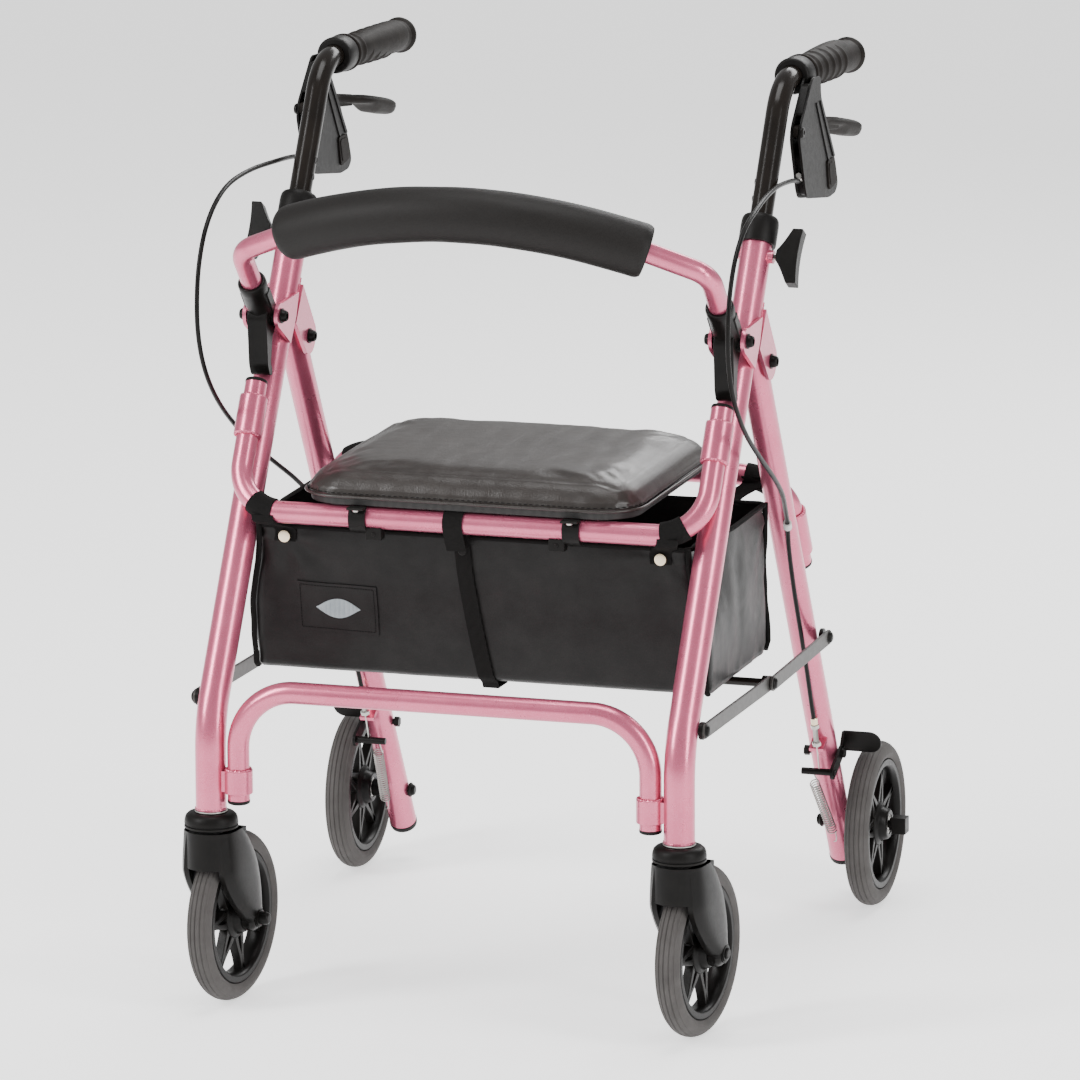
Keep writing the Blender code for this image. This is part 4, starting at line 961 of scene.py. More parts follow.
def brake(label, side):
    body = f"brake_{label}"
    near, far = LEG_X + 0.0164, LEG_X + 0.0196
    bm = bmesh.new()
    slab(bm, obround(PIN, at_x(BRAKE, 0), 0.0075), *span(side, near, far))
    slab(bm, soften([(0.2210, 0.1730), (0.2330, 0.1730), (0.2450, 0.1960), (0.2380, 0.2010)], 0.003),
         *span(side, near, far))
    piece(f"brake_lever_arm_{label}", bm, SATIN, body, [f"brake_arm_{label}"], 0.0006)
    bm = bmesh.new()
    # The shoe: a bent strip of steel plate with a round outer end.
    low_edge, high_edge = Vector((0, 0.2474, 0.1768)), Vector((0, 0.2386, 0.2005))
    thick = Vector((0, (high_edge - low_edge).z, -(high_edge - low_edge).y)).normalized() * 0.0014
    half = (high_edge - low_edge) / 2
    centre, tip = low_edge + half, REAR_WHEEL_X + 0.0165 - half.length
    rim = [(far - 0.0020, -1.0), (far - 0.0020, 1.0)]
    rim += [(tip + half.length * math.sin(a), math.cos(a)) for a in (math.pi * k / 16 for k in range(17))]
    ends = [[at_x(centre + half * v + thick * s, side * u) for u, v in rim] for s in (-1, 1)]
    prism(bm, *ends)
    piece(f"brake_shoe_{label}", bm, SATIN, body, edge=0.0007)
    bm = bmesh.new()
    rod(bm, at_x(BRAKE, side * (far + 0.002)), at_x(BRAKE, side * (LEG_X - 0.0185)), 0.0032)
    rod(bm, at_x(BRAKE, side * far), at_x(BRAKE, side * (far + 0.0036)), 0.0058, 32)
    rod(bm, at_x(BRAKE, side * (LEG_X - 0.0165)), at_x(BRAKE, side * (LEG_X - 0.0222)), 0.0058, 6)
    rod(bm, at_x(PIN, side * (far + 0.0012)), at_x(PIN, side * (LEG_X - 0.0165)), 0.0038)
    piece(f"brake_bolts_{label}", bm, SATIN, body, edge=0.0005)

    # The return spring, with a wire hook at each end, stretches between the arm's pin and the leg.
    bm = bmesh.new()
    top, foot = (Vector((side * (LEG_X + p.x), p.y, p.z)) for p in (SPRING_TOP, SPRING_FOOT))
    axis = (foot - top).normalized()
    square = X.cross(axis).normalized()
    across = axis.cross(square)
    length, turns, radius = (foot - top).length, 22, 0.0052
    coil = []
    for k in range(turns * 12 + 1):
        angle = 2 * math.pi * k / 12
        along = 0.012 + (length - 0.028) * k / (turns * 12)
        turn = across * radius * math.cos(angle) + square * radius * math.sin(angle)
        coil.append(top + axis * along + turn)
    hook_shape = ((-0.004, -0.003), (-0.006, 0.0), (-0.003, 0.003), (0.006, 0.004))
    tail_shape = ((0.012, 0.003), (0.004, 0.002), (-0.002, 0.0), (-0.003, -0.003))
    hook = [top + axis * d + across * w for d, w in hook_shape]
    tail = [foot - axis * d + across * w for d, w in tail_shape]
    tube(bm, hook + coil + tail, 0.0007, 8, square)
    made = piece(f"brake_spring_coil_{label}", bm, STEEL, None, [f"brake_spring_{label}"])
    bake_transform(made)


CABLE_ROUTE = ((0.2710, 0.0490, 0.8330), (0.2730, 0.0150, 0.8390), (0.2745, -0.0400, 0.8430),
               (0.2800, -0.1000, 0.8440), (0.2840, -0.1550, 0.8390), (0.2840, -0.2000, 0.8260),
               (0.2840, -0.2330, 0.8030), (0.2840, -0.2530, 0.7720), (0.2840, -0.2610, 0.7380),
               (0.2840, -0.2600, 0.7040), (0.2840, -0.2480, 0.6710), (0.2840, -0.2240, 0.6390),
               (0.2840, -0.1880, 0.6080), (0.2840, -0.1400, 0.5770), (0.2830, -0.0880, 0.5470),
               (0.2780, -0.0370, 0.5190), (0.2700, 0.0050, 0.4930), (0.2640, 0.0350, 0.4690),
               (0.2600, 0.0560, 0.4360), (0.2580, 0.0840, 0.3860), (0.2570, 0.1130, 0.3360),
               (0.2560, 0.1420, 0.2860), (0.2550, 0.1640, 0.2450), (0.2550, 0.1755, 0.2235), )
CABLE_R = 0.0025
FRONTMOST = 8  # the route's point that stays with the front frame
CLIPPED = 17  # the point held by the clip on the rear leg
STEPS = 8


def cable(label, side):
    route = smooth_route([(side * x, y, z) for x, y, z in CABLE_ROUTE], STEPS)
    spans = (("upper", 0, FRONTMOST, f"handle_{label}", "front_frame"),
             ("middle", FRONTMOST, CLIPPED, "front_frame", "rear_frame"),
             ("lower", CLIPPED, len(CABLE_ROUTE) - 1, "rear_frame", "rear_frame"))
    for word, first, last, start, end in spans:
        run = route[first * STEPS:last * STEPS + 1]
        bm = bmesh.new()
        tube(bm, run, CABLE_R, 14)
        nodes = [f"brake_cable_{label}"]
        made = piece(f"brake_cable_{word}_{label}", bm, SATIN, start if start == end else None,
                     nodes)
        if start != end:
            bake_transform(made)

    # The end fittings: a brass ferrule on the casing, a threaded stop, and the bare wire to the arm.
    end, shelf = route[-1], rear_at(0.2050, side * LEG_X) + Vector((0, -0.0170, -0.0080))
    shelf.x = end.x
    down = (at_x(PIN, end.x) - end).normalized()
    profile = [(0, -0.0060), (0.0034, -0.0060), (0.0038, -0.0054), (0.0038, 0.0020), (0.0030, 0.0030),
               (0, 0.0030)]
    turned(f"cable_ferrule_{label}", profile, end, down, BRASS, "rear_frame", sides=24)
    profile = [(0, 0.0030), (0.0048, 0.0030), (0.0048, 0.0072), (0.0030, 0.0074),
               *[(0.0030 - 0.0003 * (k % 2), 0.0078 + 0.0006 * k) for k in range(28)], (0.0050, 0.0252),
               (0.0050, 0.0290), (0, 0.0290)]
    turned(f"cable_stop_screw_{label}", profile, end, down, STEEL, "rear_frame", sides=6)
    bm = bmesh.new()
    rod(bm, end + down * 0.028, at_x(PIN, end.x) + Z * 0.001, 0.0008, 8)
    made = piece(f"brake_wire_{label}", bm, STEEL, None)
    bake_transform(made)
    bm = bmesh.new()
    clip = route[CLIPPED * STEPS]
    lathe(bm, [(CABLE_R + 0.0001, -0.0045), (0.0046, -0.0045), (0.0046, 0.0045),
               (CABLE_R + 0.0001, 0.0045)], clip,
          (route[CLIPPED * STEPS + 1] - route[CLIPPED * STEPS - 1]).normalized(), 24)
    anchor = rear_at(clip.z, side * (LEG_X + 0.004))
    block(bm, clip.lerp(anchor, 0.5), (0.0026, (anchor - clip).length * 0.7, 0.009),
          Matrix.Rotation(math.atan2((anchor - clip).z, (anchor - clip).y), 3, "X"))
    piece(f"cable_clip_{label}", bm, CLIP, "rear_frame", edge=0.0003)


# ---------------------------------------------------------------- folding braces
def link(name, a, b, x_inner, side, body, node):
    bm = bmesh.new()
    slab(bm, obround(at_x(a, 0), at_x(b, 0), 0.0080), *span(side, x_inner, x_inner + 0.0030))
    piece(name, bm, LINK, body, [node], 0.0007)


def braces():
    for label, side in SIDES:
        link(f"front_link_{label}", BRACE_FRONT, BRACE_KNEE, 0.2720, side, "brace_front",
             f"brace_front_{label}")
        link(f"rear_link_{label}", BRACE_KNEE, BRACE_REAR, 0.2756, side, "brace_rear", f"brace_rear_{label}")
        for word, spot, face, body in (("front", BRACE_FRONT, 0.2750, "brace_front"),
                                       ("rear", BRACE_REAR, 0.2786, "brace_rear")):
            bm = bmesh.new()
            out = X * side
            centre = at_x(spot, side * face)
            rod(bm, at_x(spot, side * (LEG_X + 0.0165)), centre, 0.0048)
            lathe(bm, [(0, 0.0036), (0.0030, 0.0036), (0.0052, 0.0026), (0.0062, 0.0008), (0.0074, 0.0006),
                       (0.0074, 0.0), (0, 0.0)], centre, out, 36)
            lathe(bm, [(0.0048, 0.0), (0.0092, 0.0), (0.0092, 0.0040), (0.0048, 0.0040)],
                  at_x(spot, side * (LEG_X + 0.0165)), out, 32)
            piece(f"brace_bolt_{word}_{label}", bm, SATIN, body, edge=0.0004)
    bm = bmesh.new()
    half = 0.2720
    rod(bm, at_x(BRACE_KNEE, -half), at_x(BRACE_KNEE, half), 0.0045, 32)
    for side in (-1, 1):
        lathe(bm, [(0.0045, 0.0), (0.0072, 0.0), (0.0078, 0.0008), (0.0078, 0.0060), (0.0045, 0.0070)],
              at_x(BRACE_KNEE, side * half), X * -side, 32)
    piece("knee_rod", bm, TUBE, "brace_front", ["brace_cross_rod"])
    bm = bmesh.new()
    for side in (-1, 1):
        lathe(bm, [(0, 0.0034), (0.0028, 0.0034), (0.0050, 0.0024), (0.0062, 0.0006), (0.0062, 0.0),
                   (0, 0.0)], at_x(BRACE_KNEE, side * 0.2787), X * side, 32)
    piece("knee_bolts", bm, SATIN, "brace_rear")


# ---------------------------------------------------------------- back rest
def back_at(x, height):
    return at_x(BACK + BACK_DIR * height, x)


def arch(x):
    return 0.1880 - 0.0620 * (x / 0.222) ** 2


PAD_HALF = 0.192


def back_rest():
    bow = [back_at(PAD_HALF * k / 24, arch(PAD_HALF * k / 24)) for k in range(-24, 25)]
    left = rounded_path([back_at(-LEG_X, 0.040), back_at(-LEG_X, 0.1080), bow[0]], 0.030, 14)[:-1]
    across = BACK_DIR.cross(X)
    bm = bmesh.new()
    tube(bm, left + bow + [MIRROR @ spot for spot in reversed(left)], RAIL_R - 0.0005, 32, across)
    piece("back_bar_tube", bm, PINK, "back_rest", ["back_bar"])

    # Split foam tube: full between its cut ends, with the seam along its lower side and soft end corners.
    bm = bmesh.new()
    count, sides, radius = 120, 56, 0.0285
    rings = []
    for k in range(count + 1):
        t = 2 * k / count - 1
        x = PAD_HALF * t
        centre = back_at(x, arch(x))
        slope = math.atan2(-2 * 0.0620 * x / 0.222 ** 2, 1.0)
        along = (X * math.cos(slope) + BACK_DIR * math.sin(slope)).normalized()
        up = along.cross(across)
        end = max(0.0, (abs(t) - 0.965) / 0.035)
        ring = []
        for j in range(sides):
            angle = 2 * math.pi * j / sides
            r = radius * (1 - 0.10 * end ** 2.2) + 0.0005 * noise.noise(Vector((x * 22, angle * 1.6, 3.1)))
            slit = math.exp(-((angle - 1.5 * math.pi) / 0.05) ** 2)
            r -= 0.0028 * slit
            ring.append(bm.verts.new(centre + across * r * math.cos(angle) + up * r * math.sin(angle)))
        rings.append(ring)
    skin(bm, rings, ends=False)
    for ring, t in ((rings[0], -1), (rings[-1], 1)):
        x = PAD_HALF * t
        centre = back_at(x, arch(x))
        inner = [bm.verts.new(centre + (v.co - centre) * 0.46 - X * t * 0.0012) for v in ring]
        deep = [bm.verts.new(centre + (v.co - centre) * 0.42 - X * t * 0.0060) for v in ring]
        for j in range(sides):
            n = (j + 1) % sides
            bm.faces.new((ring[j], ring[n], inner[n], inner[j]))
            bm.faces.new((inner[j], inner[n], deep[n], deep[j]))
        bm.faces.new(deep)
    pad = piece("back_pad_foam", bm, FOAM, "back_rest", ["back_pad"], 0.0016, 50)

    for label, side in SIDES:
        x = side * LEG_X
        bm = bmesh.new()
        low, high = back_at(x, -0.010), back_at(x, 0.058)
        length = (high - low).length
        lathe(bm, [(0, 0.0), (0.0120, 0.0002), (0.0140, 0.0024), (0.0146, 0.0060), (0.0146, length - 0.012),
                   (0.0150, length - 0.0100), (0.0150, length - 0.0030), (0.0142, length), (0.0114, length),
                   (0.0112, length - 0.014), (0, length - 0.015)], low, BACK_DIR, 48)
        inner = [(-0.1620, 0.7150), (-0.1680, 0.7000), (-0.1640, 0.6500), (-0.1580, 0.6380),
                 (-0.1490, 0.6370), (-0.1490, 0.6440), (-0.1530, 0.6500), (-0.1480, 0.6760),
                 (-0.1310, 0.6960), (-0.1330, 0.7080)]
        slab(bm, soften(inner, 0.004), x - 0.0106, x + 0.0106)
        rod(bm, at_x(BACK, x - 0.0146), at_x(BACK, x + 0.0146), 0.0110, 40)
        for k in (-1, 1):
            mid = back_at(x, 0.022) + X * k * 0.0128
            block(bm, mid, (0.0046, 0.0110, 0.040), Matrix.Rotation(BACK_LEAN, 3, "X"))
        piece(f"back_holder_body_{label}", bm, SATIN, "back_rest",
              [f"back_holder_{label}"], 0.0010)


# ---------------------------------------------------------------- seat
SEAT_LOW, SEAT_HIGH = (Vector(v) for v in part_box("seat_cushion"))


def seat_outline(inset, radius, steps=10):
    """A rounded rectangle inside the cushion's plan, as (x, y) points."""
    x, y0, y1 = SEAT_HIGH.x - inset, SEAT_LOW.y + inset, SEAT_HIGH.y - inset
    radius = max(radius - inset * 0.5, 0.006)
    points = []
    for cx, cy, start in ((x - radius, y0 + radius, -90), (x - radius, y1 - radius, 0),
                          (-x + radius, y1 - radius, 90), (-x + radius, y0 + radius, 180)):
        for k in range(steps + 1):
            angle = math.radians(start + 90 * k / steps)
            points.append((cx + radius * math.cos(angle), cy + radius * math.sin(angle)))
    return points


def edge_distance(spot):
    """How far inside the cushion's plan a point lies."""
    return min(SEAT_HIGH.x - abs(spot.x), spot.y - SEAT_LOW.y, SEAT_HIGH.y - spot.y)


def swell(made, cap, frames=18):
    """Blows the cushion up as cloth over its filling, moving no point further than cap."""
    rest = [v.co.copy() for v in made.data.vertices]
    floor = min(co.z for co in rest) + 0.006
    held = made.vertex_groups.new(name="held")
    held.add([k for k, co in enumerate(rest) if co.z < floor], 1.0, "REPLACE")
    cloth = made.modifiers.new("cloth", "CLOTH")
    cloth.settings.use_pressure = True
    cloth.settings.uniform_pressure_force = 4.0
    cloth.settings.vertex_group_mass = "held"
    cloth.settings.effector_weights.gravity = 0.0
    cloth.settings.tension_stiffness = 12.0
    cloth.settings.bending_stiffness = 0.4
    scene = bpy.context.scene
    for number in range(1, frames + 1):
        scene.frame_set(number)
    graph = bpy.context.evaluated_depsgraph_get()
    moved = [v.co.copy() for v in made.evaluated_get(graph).data.vertices]
    made.modifiers.remove(cloth)
    scene.frame_set(1)
    for vertex, start, end in zip(made.data.vertices, rest, moved):
        step = end - start
        vertex.co = start + step * min(1.0, cap / max(step.length, 1e-9))


def seat():
    bm = bmesh.new()
    deep = 0.0015
    profile = ((0.0060, 0.0000), (0.0018, 0.0012), (0.0006, 0.0040), (0.0030, 0.0058), (0.0022, 0.0090),
               (0.0046, 0.0150), (0.0090, 0.0205), (0.0150, 0.0250), (0.0215, 0.0280), (0.0290, 0.0295),
               (0.0600, 0.0302), (0.1000, 0.0305))
    rings = []
    for inset, height in profile:
        rings.append([bm.verts.new((x, y, SEAT_LOW.z + height)) for x,
                      y in seat_outline(inset + deep, 0.046)])
    skin(bm, rings)
    cushion = piece("seat_cushion_cover", bm, SEAT_VINYL, None, angle=180)
    remesh = cushion.modifiers.new("grid", "REMESH")
    remesh.mode = "VOXEL"
    remesh.voxel_size = 0.0050
    apply_modifiers(cushion)
    swell(cushion, 0.0030)
    # Sewn and pressed lines come after the cloth: the flange seam, the fold round the top, wrinkles.
    fine = cushion.modifiers.new("fine", "SUBSURF")
    fine.levels = fine.render_levels = 1
    apply_modifiers(cushion)
    normals = [v.normal.copy() for v in cushion.data.vertices]
    for vertex, normal in zip(cushion.data.vertices, normals):
        co = vertex.co
        inside = edge_distance(co)
        groove = 0.0011 * math.exp(-((co.z - SEAT_LOW.z - 0.0058) / 0.0016) ** 2)
        fold = 0.0009 * math.exp(-((inside - 0.0270) / 0.0035) ** 2) * (1 if co.z > SEAT_LOW.z + 0.02 else 0)
        spot = Vector((co.x * 26, co.y * 26, co.z * 26))
        ripple = 0.00035 * noise.noise(spot) + 0.00045 * noise.noise(Vector((co.x * 55, co.y * 16, 4.2)))
        vertex.co = co - normal * (groove + fold - ripple)
        vertex.co.z = min(vertex.co.z, SEAT_HIGH.z + 0.0015)
    cushion.data.shade_smooth()
    cushion.data.materials.clear()
    cushion.data.materials.append(SEAT_VINYL)
    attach(cushion, "seat")
    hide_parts("seat_cushion")

    # The welt round the lower edge, with its stitches.
    bm = bmesh.new()
    loop = [Vector((x, y, SEAT_LOW.z + 0.0016)) for x, y in seat_outline(0.0012, 0.046)]
    tube(bm, [*loop, loop[0]], 0.0016, 10, Z)
    piece("seat_welt", bm, SEAT_VINYL, "seat", angle=60)
    bm = bmesh.new()
    stitch_loop = [Vector((x, y, SEAT_LOW.z + 0.0052)) for x, y in seat_outline(0.0016, 0.046, 3)]
    for a, b in zip(stitch_loop, stitch_loop[1:] + stitch_loop[:1]):
        count = max(1, int((b - a).length / 0.0060))
        for k in range(count):
            tube(bm, [a.lerp(b, (k + 0.2) / count), a.lerp(b, (k + 0.75) / count)], 0.00045, 6, Z)
    piece("seat_stitches", bm, WEBBING, "seat", angle=60)

    bm = bmesh.new()
    low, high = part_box("seat_board")
    plan = seat_outline(0.0065, 0.044)
    prism(bm, [(x, y, low[2]) for x, y in plan], [(x, y, high[2]) for x, y in plan])
    piece("seat_board_panel", bm, BOARD, "seat", ["seat_board"], 0.0010)
    bm = bmesh.new()
    for side in (-1, 1):
        for y in (-0.215, -0.080, 0.030):
            lathe(bm, [(0, -0.0016), (0.0030, -0.0014), (0.0042, -0.0002), (0.0042, 0.0006), (0, 0.0006)],
                  Vector((side * 0.115, y, low[2])), Z, 20)
    piece("seat_board_screws", bm, STEEL, "seat")

    for label, side in SIDES:
        centre = at_x(SEAT_HINGE, side * 0.115)
        inner, outer = RAIL_R + 0.0004, RAIL_R + 0.0036
        bm = bmesh.new()
        wrap = arc(centre, outer, 62, -242, 40) + arc(centre, inner, -242, 62, 40)
        slab(bm, wrap, centre.x - 0.009, centre.x + 0.009)
        for y in (-0.0118, 0.0118):
            block(bm, centre + Vector((0, y * 1.25, 0.0118)), (0.018, 0.0095, 0.0026))
        piece(f"seat_clip_ring_{label}", bm, PLASTIC, "seat", [f"seat_clip_{label}"],
              0.0006)
        bm = bmesh.new()
        screw = centre + Vector((0, -0.0155, 0.0104))
        lathe(bm, [(0, -0.0024), (0.0020, -0.0024), (0.0032, -0.0016), (0.0036, 0.0), (0, 0.0)], screw, Z,
              24)
        piece(f"seat_clip_screw_{label}", bm, STEEL, "seat")
        bm = bmesh.new()
        stop = at_x(SEAT_HINGE, side * 0.0985) + Vector((0, -0.0020, -0.0155))
        block(bm, stop, (0.0170, 0.0130, 0.0130))
        rod(bm, stop - Y * 0.0080, stop - Y * 0.0060, 0.0022, 16)
        piece(f"rail_stop_{label}", bm, PLASTIC, "front_frame", edge=0.0010)


# ---------------------------------------------------------------- bag
BAG_LOW, BAG_HIGH = (Vector(v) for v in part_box("bag"))
BAG_TOP = BAG_HIGH.z
BAG_HALF = BAG_HIGH.x
BAG_FLOOR = 0.3370
BAG_FRONT = ((BAG_TOP, -0.2260), (0.3420, -0.2000), (0.3330, -0.1880))
BAG_REAR = ((BAG_TOP, 0.0160), (0.4200, 0.0100), (0.3460, 0.0260), (BAG_FLOOR, 0.0160))
SNAP_X, SNAP_Z = 0.2030, 0.4850


def along_outline(outline, z):
    for (z0, y0), (z1, y1) in zip(outline, outline[1:]):
        if z >= z1:
            return y0 + (y1 - y0) * (z0 - z) / (z0 - z1)
    return outline[-1][1]


def drape(x, z, seed):
    """How far a hanging panel stands out: a belly, folds that fan out from the snaps, and small creases."""
    fall = (BAG_TOP - z) / (BAG_TOP - BAG_LOW.z)
    belly = 0.0050 * math.sin(math.pi * min(1.0, fall * 1.05)) * (1 - (abs(x) / BAG_HALF) ** 4)
    folds = 0.0
    for side in (-1, 1):
        dx, dz = x - side * SNAP_X, z - SNAP_Z
        reach = math.hypot(dx, dz)
        angle = math.atan2(dz, -side * dx)
        folds += 0.0022 * math.exp(-reach / 0.085) * math.cos(6.5 * angle + seed) * min(1.0, reach / 0.02)
    crease = 0.0016 * noise.noise(Vector((x * 17, z * 23, seed)))
    crease += 0.0007 * noise.noise(Vector((x * 46, z * 38, seed + 7)))
    middle_pull = -0.0032 * math.exp(-((x - 0.004) / 0.028) ** 2) * math.sin(math.pi * min(1.0, fall))
    return belly + folds + (crease + middle_pull) * min(1.0, fall * 6)


def bag_front(x, z, lift=0.0):
    return Vector((x, along_outline(BAG_FRONT, z) - drape(x, z, 0.8) - lift, z))


def hang(made):
    """Bakes a bag piece's placement into its mesh."""
    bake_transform(made)


def hung(name, bm, look, angle=32.0):
    hang(piece(name, bm, look, None, angle=angle))


def flare(y, z):
    """The side panels hang wider below the rail and towards the rear, clear of the front legs."""
    return 0.0125 * max(smooth((BAG_TOP - 0.012 - z) / 0.090), smooth((y + 0.190) / 0.090))


def bag_ring(z):
    """The bag's walls at one height, as points all round, the front panel first."""
    front, rear = along_outline(BAG_FRONT, z), along_outline(BAG_REAR, z)
    radius, wide, deep, points = 0.006, 72, 46, []
    for side, start, end, seed, side_seed in ((1, front, rear, 0.8, 2.1), (-1, rear, front, 4.4, 5.6)):
        half = BAG_HALF + flare(start, z)
        for k in range(wide + 1):
            x = -half + radius + 2 * (half - radius) * k / wide
            points.append(Vector((x * side, start - side * drape(x * side, z, seed), z)))
        for k in range(1, deep):
            t = k / deep
            y = start + (end - start) * t
            corner = radius * (max(0.0, 1 - t / 0.05) ** 2 + max(0.0, 1 - (1 - t) / 0.05) ** 2)
            pinch = drape((t - 0.5) * 0.40, z, side_seed) * 0.8
            points.append(Vector((side * (BAG_HALF + flare(y, z) - corner + pinch), y, z)))
    return points


def bag():
    bm = bmesh.new()
    rows = [BAG_TOP - (BAG_TOP - BAG_FLOOR) * (k / 34) for k in range(35)]
    rings = [[bm.verts.new(p) for p in bag_ring(z)] for z in rows]
    low = bag_ring(BAG_FLOOR)
    centre = sum(low, Vector()) / len(low)
    for k in range(1, 12):
        keep = 1 - k / 12
        ring = []
        for p in low:
            spot = centre + (p - centre) * keep
            spot.z = BAG_FLOOR - 0.0040 * math.sin(math.pi / 2 * (1 - keep)) + 0.0012 * noise.noise(spot * 24)
            ring.append(bm.verts.new(spot))
        rings.append(ring)
    skin(bm, rings, ends=False)
    bm.faces.new(rings[-1])
    bmesh.ops.recalc_face_normals(bm, faces=bm.faces)
    bm.faces.ensure_lookup_table()
    if bm.faces[0].normal.dot(Vector((0, -1, 0))) < 0:
        bmesh.ops.reverse_faces(bm, faces=bm.faces)
    shell = placed("bag_shell", bm, BAG_VINYL)
    thick = shell.modifiers.new("thickness", "SOLIDIFY")
    thick.thickness = 0.0018
    thick.offset = -1.0
    apply_modifiers(shell)
    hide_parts("bag")
    hang(shell)

    # Bound edges: a folded tape round the mouth and down each corner of the side panels.
    bm = bmesh.new()
    mouth = bag_ring(BAG_TOP - 0.0010)
    tube(bm, [*mouth, mouth[0]], 0.0027, 10, Z, 1.0)
    hung("bag_mouth_binding", bm, WEBBING, 70)
    for label, side in SIDES:
        for word, outline, sign, seed in (("front", BAG_FRONT, -1, 0.8), ("rear", BAG_REAR, 1, 4.4)):
            path = []
            for k in range(41):
                z = BAG_TOP - (BAG_TOP - 0.3380) * k / 40
                x = side * (BAG_HALF + flare(along_outline(outline, z), z) - 0.0010)
                wave = 0.0012 * noise.noise(Vector((z * 40, side, seed)))
                path.append(Vector((x + wave * side, along_outline(outline, z) + sign * 0.0016, z)))
            bm = bmesh.new()
            tube(bm, path, 0.0032, 10, X, 0.8)
            hung(f"bag_{word}_binding_{label}", bm, WEBBING, 70)


def ribbon(bm, points, half_width, thickness, across=X):
    """A woven strap along a path, with its flat side square to across."""
    rows = []
    for k, point in enumerate(points):
        along = (points[min(k + 1, len(points) - 1)] - points[max(k - 1, 0)]).normalized()
        out = along.cross(across).normalized() * thickness / 2
        rim = across * half_width
        rows.append([bm.verts.new(point + a * rim + b * out) for a,
                     b in ((-1, -1), (-0.92, -1.12), (0.92, -1.12), (1, -1), (1, 1), (0.92, 1.12),
                           (-0.92, 1.12), (-1, 1))])
    skin(bm, rows)


def snap(name, spot):
    bm = bmesh.new()
    lathe(bm, [(0, 0.0024), (0.0040, 0.0026), (0.0062, 0.0022), (0.0066, 0.0010), (0.0068, 0.0), (0, 0.0)],
          spot, -Y, 36)
    hung(name, bm, BRASS)


def straps():
    centre = at_x(SEAT_HINGE, -0.0120)
    bm = bmesh.new()
    # The pull strap: a loop round the rail, riveted, and a long tail down the front panel.
    loop_low = 0.4830
    back = [Vector((0, SEAT_HINGE.y + (RAIL_R + 0.0016) * math.sin(math.radians(a)),
                    SEAT_HINGE.z + (RAIL_R + 0.0016) * math.cos(math.radians(a))))
            for a in range(110, -111, -10)]
    front = [Vector((0, -0.2470, 0.4930)), Vector((0, -0.2400, loop_low))]
    rear = [Vector((0, -0.2330, loop_low + 0.002)), Vector((0, -0.2320, 0.4950))]
    ribbon(bm, [at_x(p, centre.x) for p in [*rear, *back, *front]], 0.0105, 0.0016)
    tail = []
    for k in range(40):
        z = 0.4860 - (0.4860 - 0.3350) * k / 39
        tail.append(bag_front(-0.0100 + 0.0180 * (k / 39) ** 1.4, z, 0.0022))
    tail += [Vector((0.0082, -0.1900, 0.3290)), Vector((0.0084, -0.1600, 0.3285))]
    strap = bmesh.new()
    ribbon(strap, tail, 0.0085, 0.0016)
    piece("pull_strap_loop", bm, WEBBING, "front_frame", ["pull_strap"], angle=60)
    hung("pull_strap_tail", strap, WEBBING, 60)
    bm = bmesh.new()
    lathe(bm, [(0, 0.0020), (0.0030, 0.0018), (0.0044, 0.0006), (0.0044, 0.0), (0, 0.0)],
          bag_front(-0.0100, 0.4800, 0.0034), -Y, 28)
    hung("pull_strap_rivet", bm, PLASTIC)

    # Webbing wrapped round each rail's bends, and a short strap from each wrap down to the bag.
    for word, (end, corner) in (("front", FRONT_RAIL), ("rear", REAR_RAIL)):
        bend = rounded_path([MIRROR @ corner, corner, end], RAIL_BEND, 24)[1:-1]
        wrap = bend[2:11]
        for label, side in SIDES:
            path = [at_x(p, p.x * side) for p in wrap]
            bm = bmesh.new()
            tube(bm, path, RAIL_R + 0.0018, 28, (end - corner).cross(X))
            piece(f"{word}_rail_strap_{label}", bm, WEBBING, f"{word}_frame", edge=0.0006)
            foot = path[3]
            if word == "front":
                target = bag_front(side * SNAP_X, SNAP_Z, 0.0012)
                points = [foot + Vector((0, -0.0125, -0.004)),
                          foot + Vector((-side * 0.002, -0.0105, -0.0120)),
                          target + Vector((0, -0.0015, 0.008)), target + Vector((0, -0.0010, -0.0060))]
            else:
                target = Vector((side * SNAP_X, along_outline(BAG_REAR, SNAP_Z) + 0.0020, SNAP_Z))
                points = [foot + Vector((0, -0.0125, 0.003)), foot + Vector((0, -0.0135, -0.006)),
                          target + Vector((0, 0.012, 0.010)), target + Vector((0, 0.0015, -0.0060))]
            bm = bmesh.new()
            ribbon(bm, smooth_route(points, 6), 0.0115, 0.0016)
            hung(f"{word}_snap_strap_{label}", bm, WEBBING, 60)
            if word == "front":
                snap(f"front_snap_{label}", target + Vector((0, -0.0018, -0.0005)))


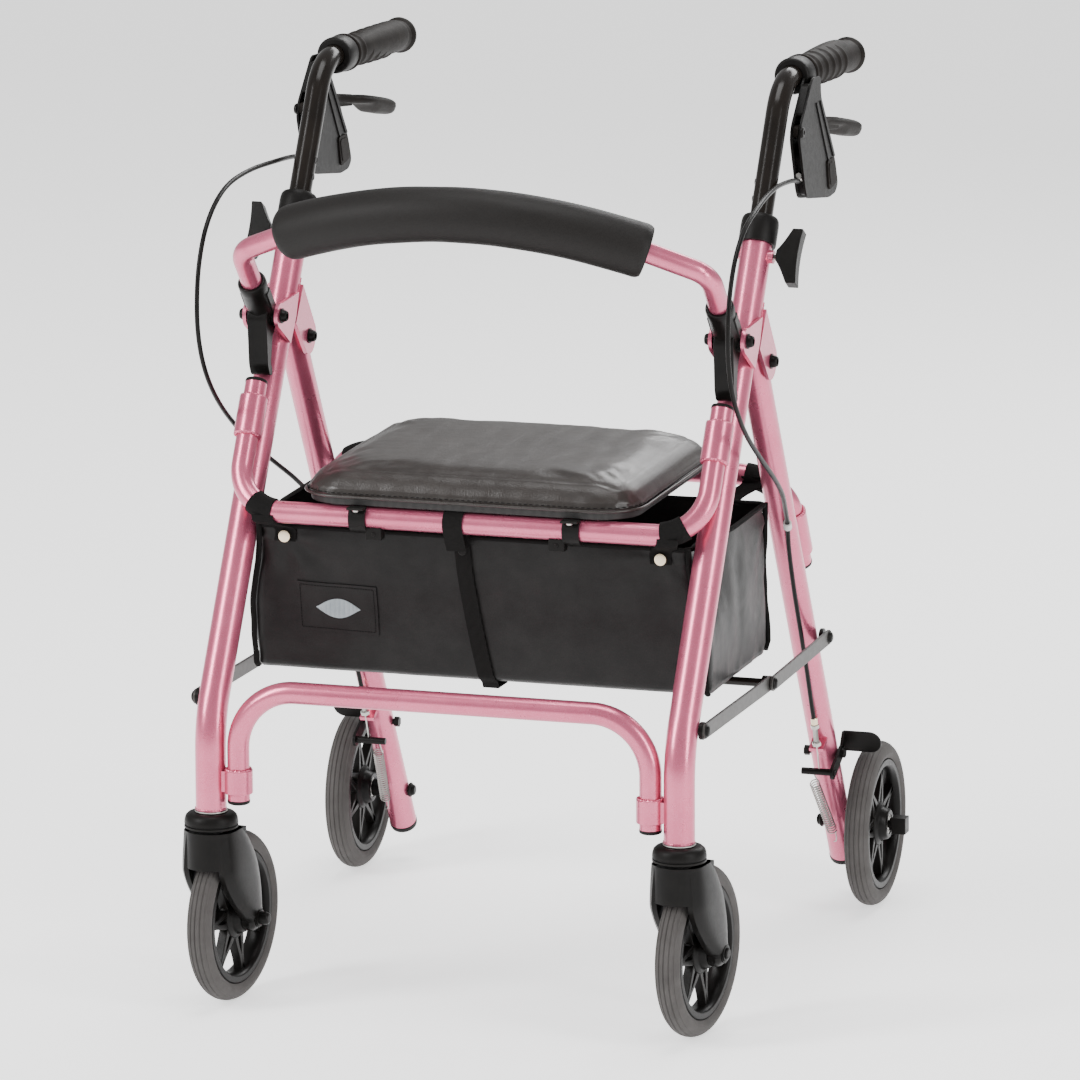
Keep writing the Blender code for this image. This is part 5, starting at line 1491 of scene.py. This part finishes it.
def badge():
    """A sewn patch with a stitched border and a plain woven lozenge."""
    low, high = (-0.1930, 0.3830), (-0.1060, 0.4360)

    def on_panel(x, z, lift):
        return bag_front(x, z - (x - low[0]) * 0.02, lift)

    def quilt(bm, corners, lift, thick, nx=24, nz=14):
        (x0, z0), (x1, z1) = corners
        grids = []
        for offset in (lift, lift + thick):
            grids.append([[bm.verts.new(on_panel(x0 + (x1 - x0) * i / nx, z0 + (z1 - z0) * j / nz, offset))
                           for i in range(nx + 1)] for j in range(nz + 1)])
        for grid in grids:
            for j in range(nz):
                for i in range(nx):
                    bm.faces.new((grid[j][i], grid[j][i + 1], grid[j + 1][i + 1], grid[j + 1][i]))
        a, b = grids
        rim = [(0, i) for i in range(nx)] + [(j, nx) for j in range(nz)]
        rim += [(nz, i) for i in range(nx, 0, -1)] + [(j, 0) for j in range(nz, 0, -1)]
        for k in range(len(rim)):
            (j0, i0), (j1, i1) = rim[k], rim[(k + 1) % len(rim)]
            bm.faces.new((a[j0][i0], a[j1][i1], b[j1][i1], b[j0][i0]))

    bm = bmesh.new()
    quilt(bm, (low, high), 0.0004, 0.0014)
    hung("badge_patch", bm, BAG_VINYL, 40)
    bm = bmesh.new()
    edge = 0.0032
    corners = [(low[0] + edge, low[1] + edge), (high[0] - edge, low[1] + edge),
               (high[0] - edge, high[1] - edge), (low[0] + edge, high[1] - edge)]
    for (x0, z0), (x1, z1) in zip(corners, corners[1:] + corners[:1]):
        count = int(math.hypot(x1 - x0, z1 - z0) / 0.0030)
        for k in range(count):
            ends = [on_panel(x0 + (x1 - x0) * t, z0 + (z1 - z0) * t, 0.0020) for t in
                    ((k + 0.15) / count, (k + 0.80) / count)]
            tube(bm, ends, 0.00042, 6, Y)
    hung("badge_stitches", bm, WEBBING, 60)
    bm = bmesh.new()
    for k in range(34):
        x = -0.1725 + 0.046 * k / 33
        reach = 0.0105 * math.sin(math.pi * (k + 0.5) / 34)
        ends = [on_panel(x, 0.4095 - reach, 0.0020), on_panel(x + 0.0015, 0.4095 + reach, 0.0020)]
        tube(bm, ends, 0.00062, 6, Y)
    hung("badge_embroidery", bm, PATCH, 60)


# ---------------------------------------------------------------- floor, lights and camera
def studio():
    bm = bmesh.new()
    bmesh.ops.create_grid(bm, x_segments=2, y_segments=2, size=30.0)
    pale = Nodes("pale_floor").set(base_color=(0.82, 0.82, 0.82, 1.0), roughness=0.8,
                                   emission_color=(1.0, 1.0, 1.0, 1.0), emission_strength=1.1)
    placed("studio_floor", bm, pale)
    world = bpy.data.worlds.new("studio_world")
    world.use_nodes = True
    world.node_tree.nodes["Background"].inputs["Color"].default_value = (1.0, 1.0, 1.0, 1.0)
    world.node_tree.nodes["Background"].inputs["Strength"].default_value = 0.55
    bpy.context.scene.world = world
    aim = Vector((0, -0.02, 0.50))
    for name, spot, size, power in (("key", (-2.4, -2.4, 2.4), (0.9, 2.4), 135),
                                    ("fill", (2.9, -1.4, 1.6), (0.7, 2.4), 70),
                                    ("back", (0.6, 3.2, 2.6), (2.6, 1.2), 90),
                                    ("top", (0.0, -0.2, 3.4), (1.6, 1.6), 60)):
        data = bpy.data.lights.new(name, "AREA")
        data.shape = "RECTANGLE"
        data.size, data.size_y = size
        data.energy = power
        lamp = bpy.data.objects.new(name, data)
        lamp.location = spot
        lamp.rotation_euler = (Vector(spot) - aim).to_track_quat("Z", "Y").to_euler()
        bpy.context.scene.collection.objects.link(lamp)


def camera():
    data = bpy.data.cameras.new("photo_camera")
    data.lens = 285.1
    data.sensor_width = 36.0
    data.clip_end = 200.0
    made = bpy.data.objects.new("photo_camera", data)
    made.location = (2.6245, -8.4098, 2.3753)
    target = Vector((0.0919, -0.2854, 0.5102))
    turn = (target - made.location).to_track_quat("-Z", "Y").to_matrix()
    made.rotation_euler = (turn @ Matrix.Rotation(math.radians(-0.2525), 3, "Z")).to_euler()
    bpy.context.scene.collection.objects.link(made)
    bpy.context.scene.camera = made


camera()
studio()
front_frame()
rear_frame()
wheels()
for side_name, sign in SIDES:
    handle(side_name, sign)
    lever(side_name, sign)
    knob(side_name, sign)
    brake(side_name, sign)
    cable(side_name, sign)
braces()
back_rest()
seat()
bag()
straps()
badge()
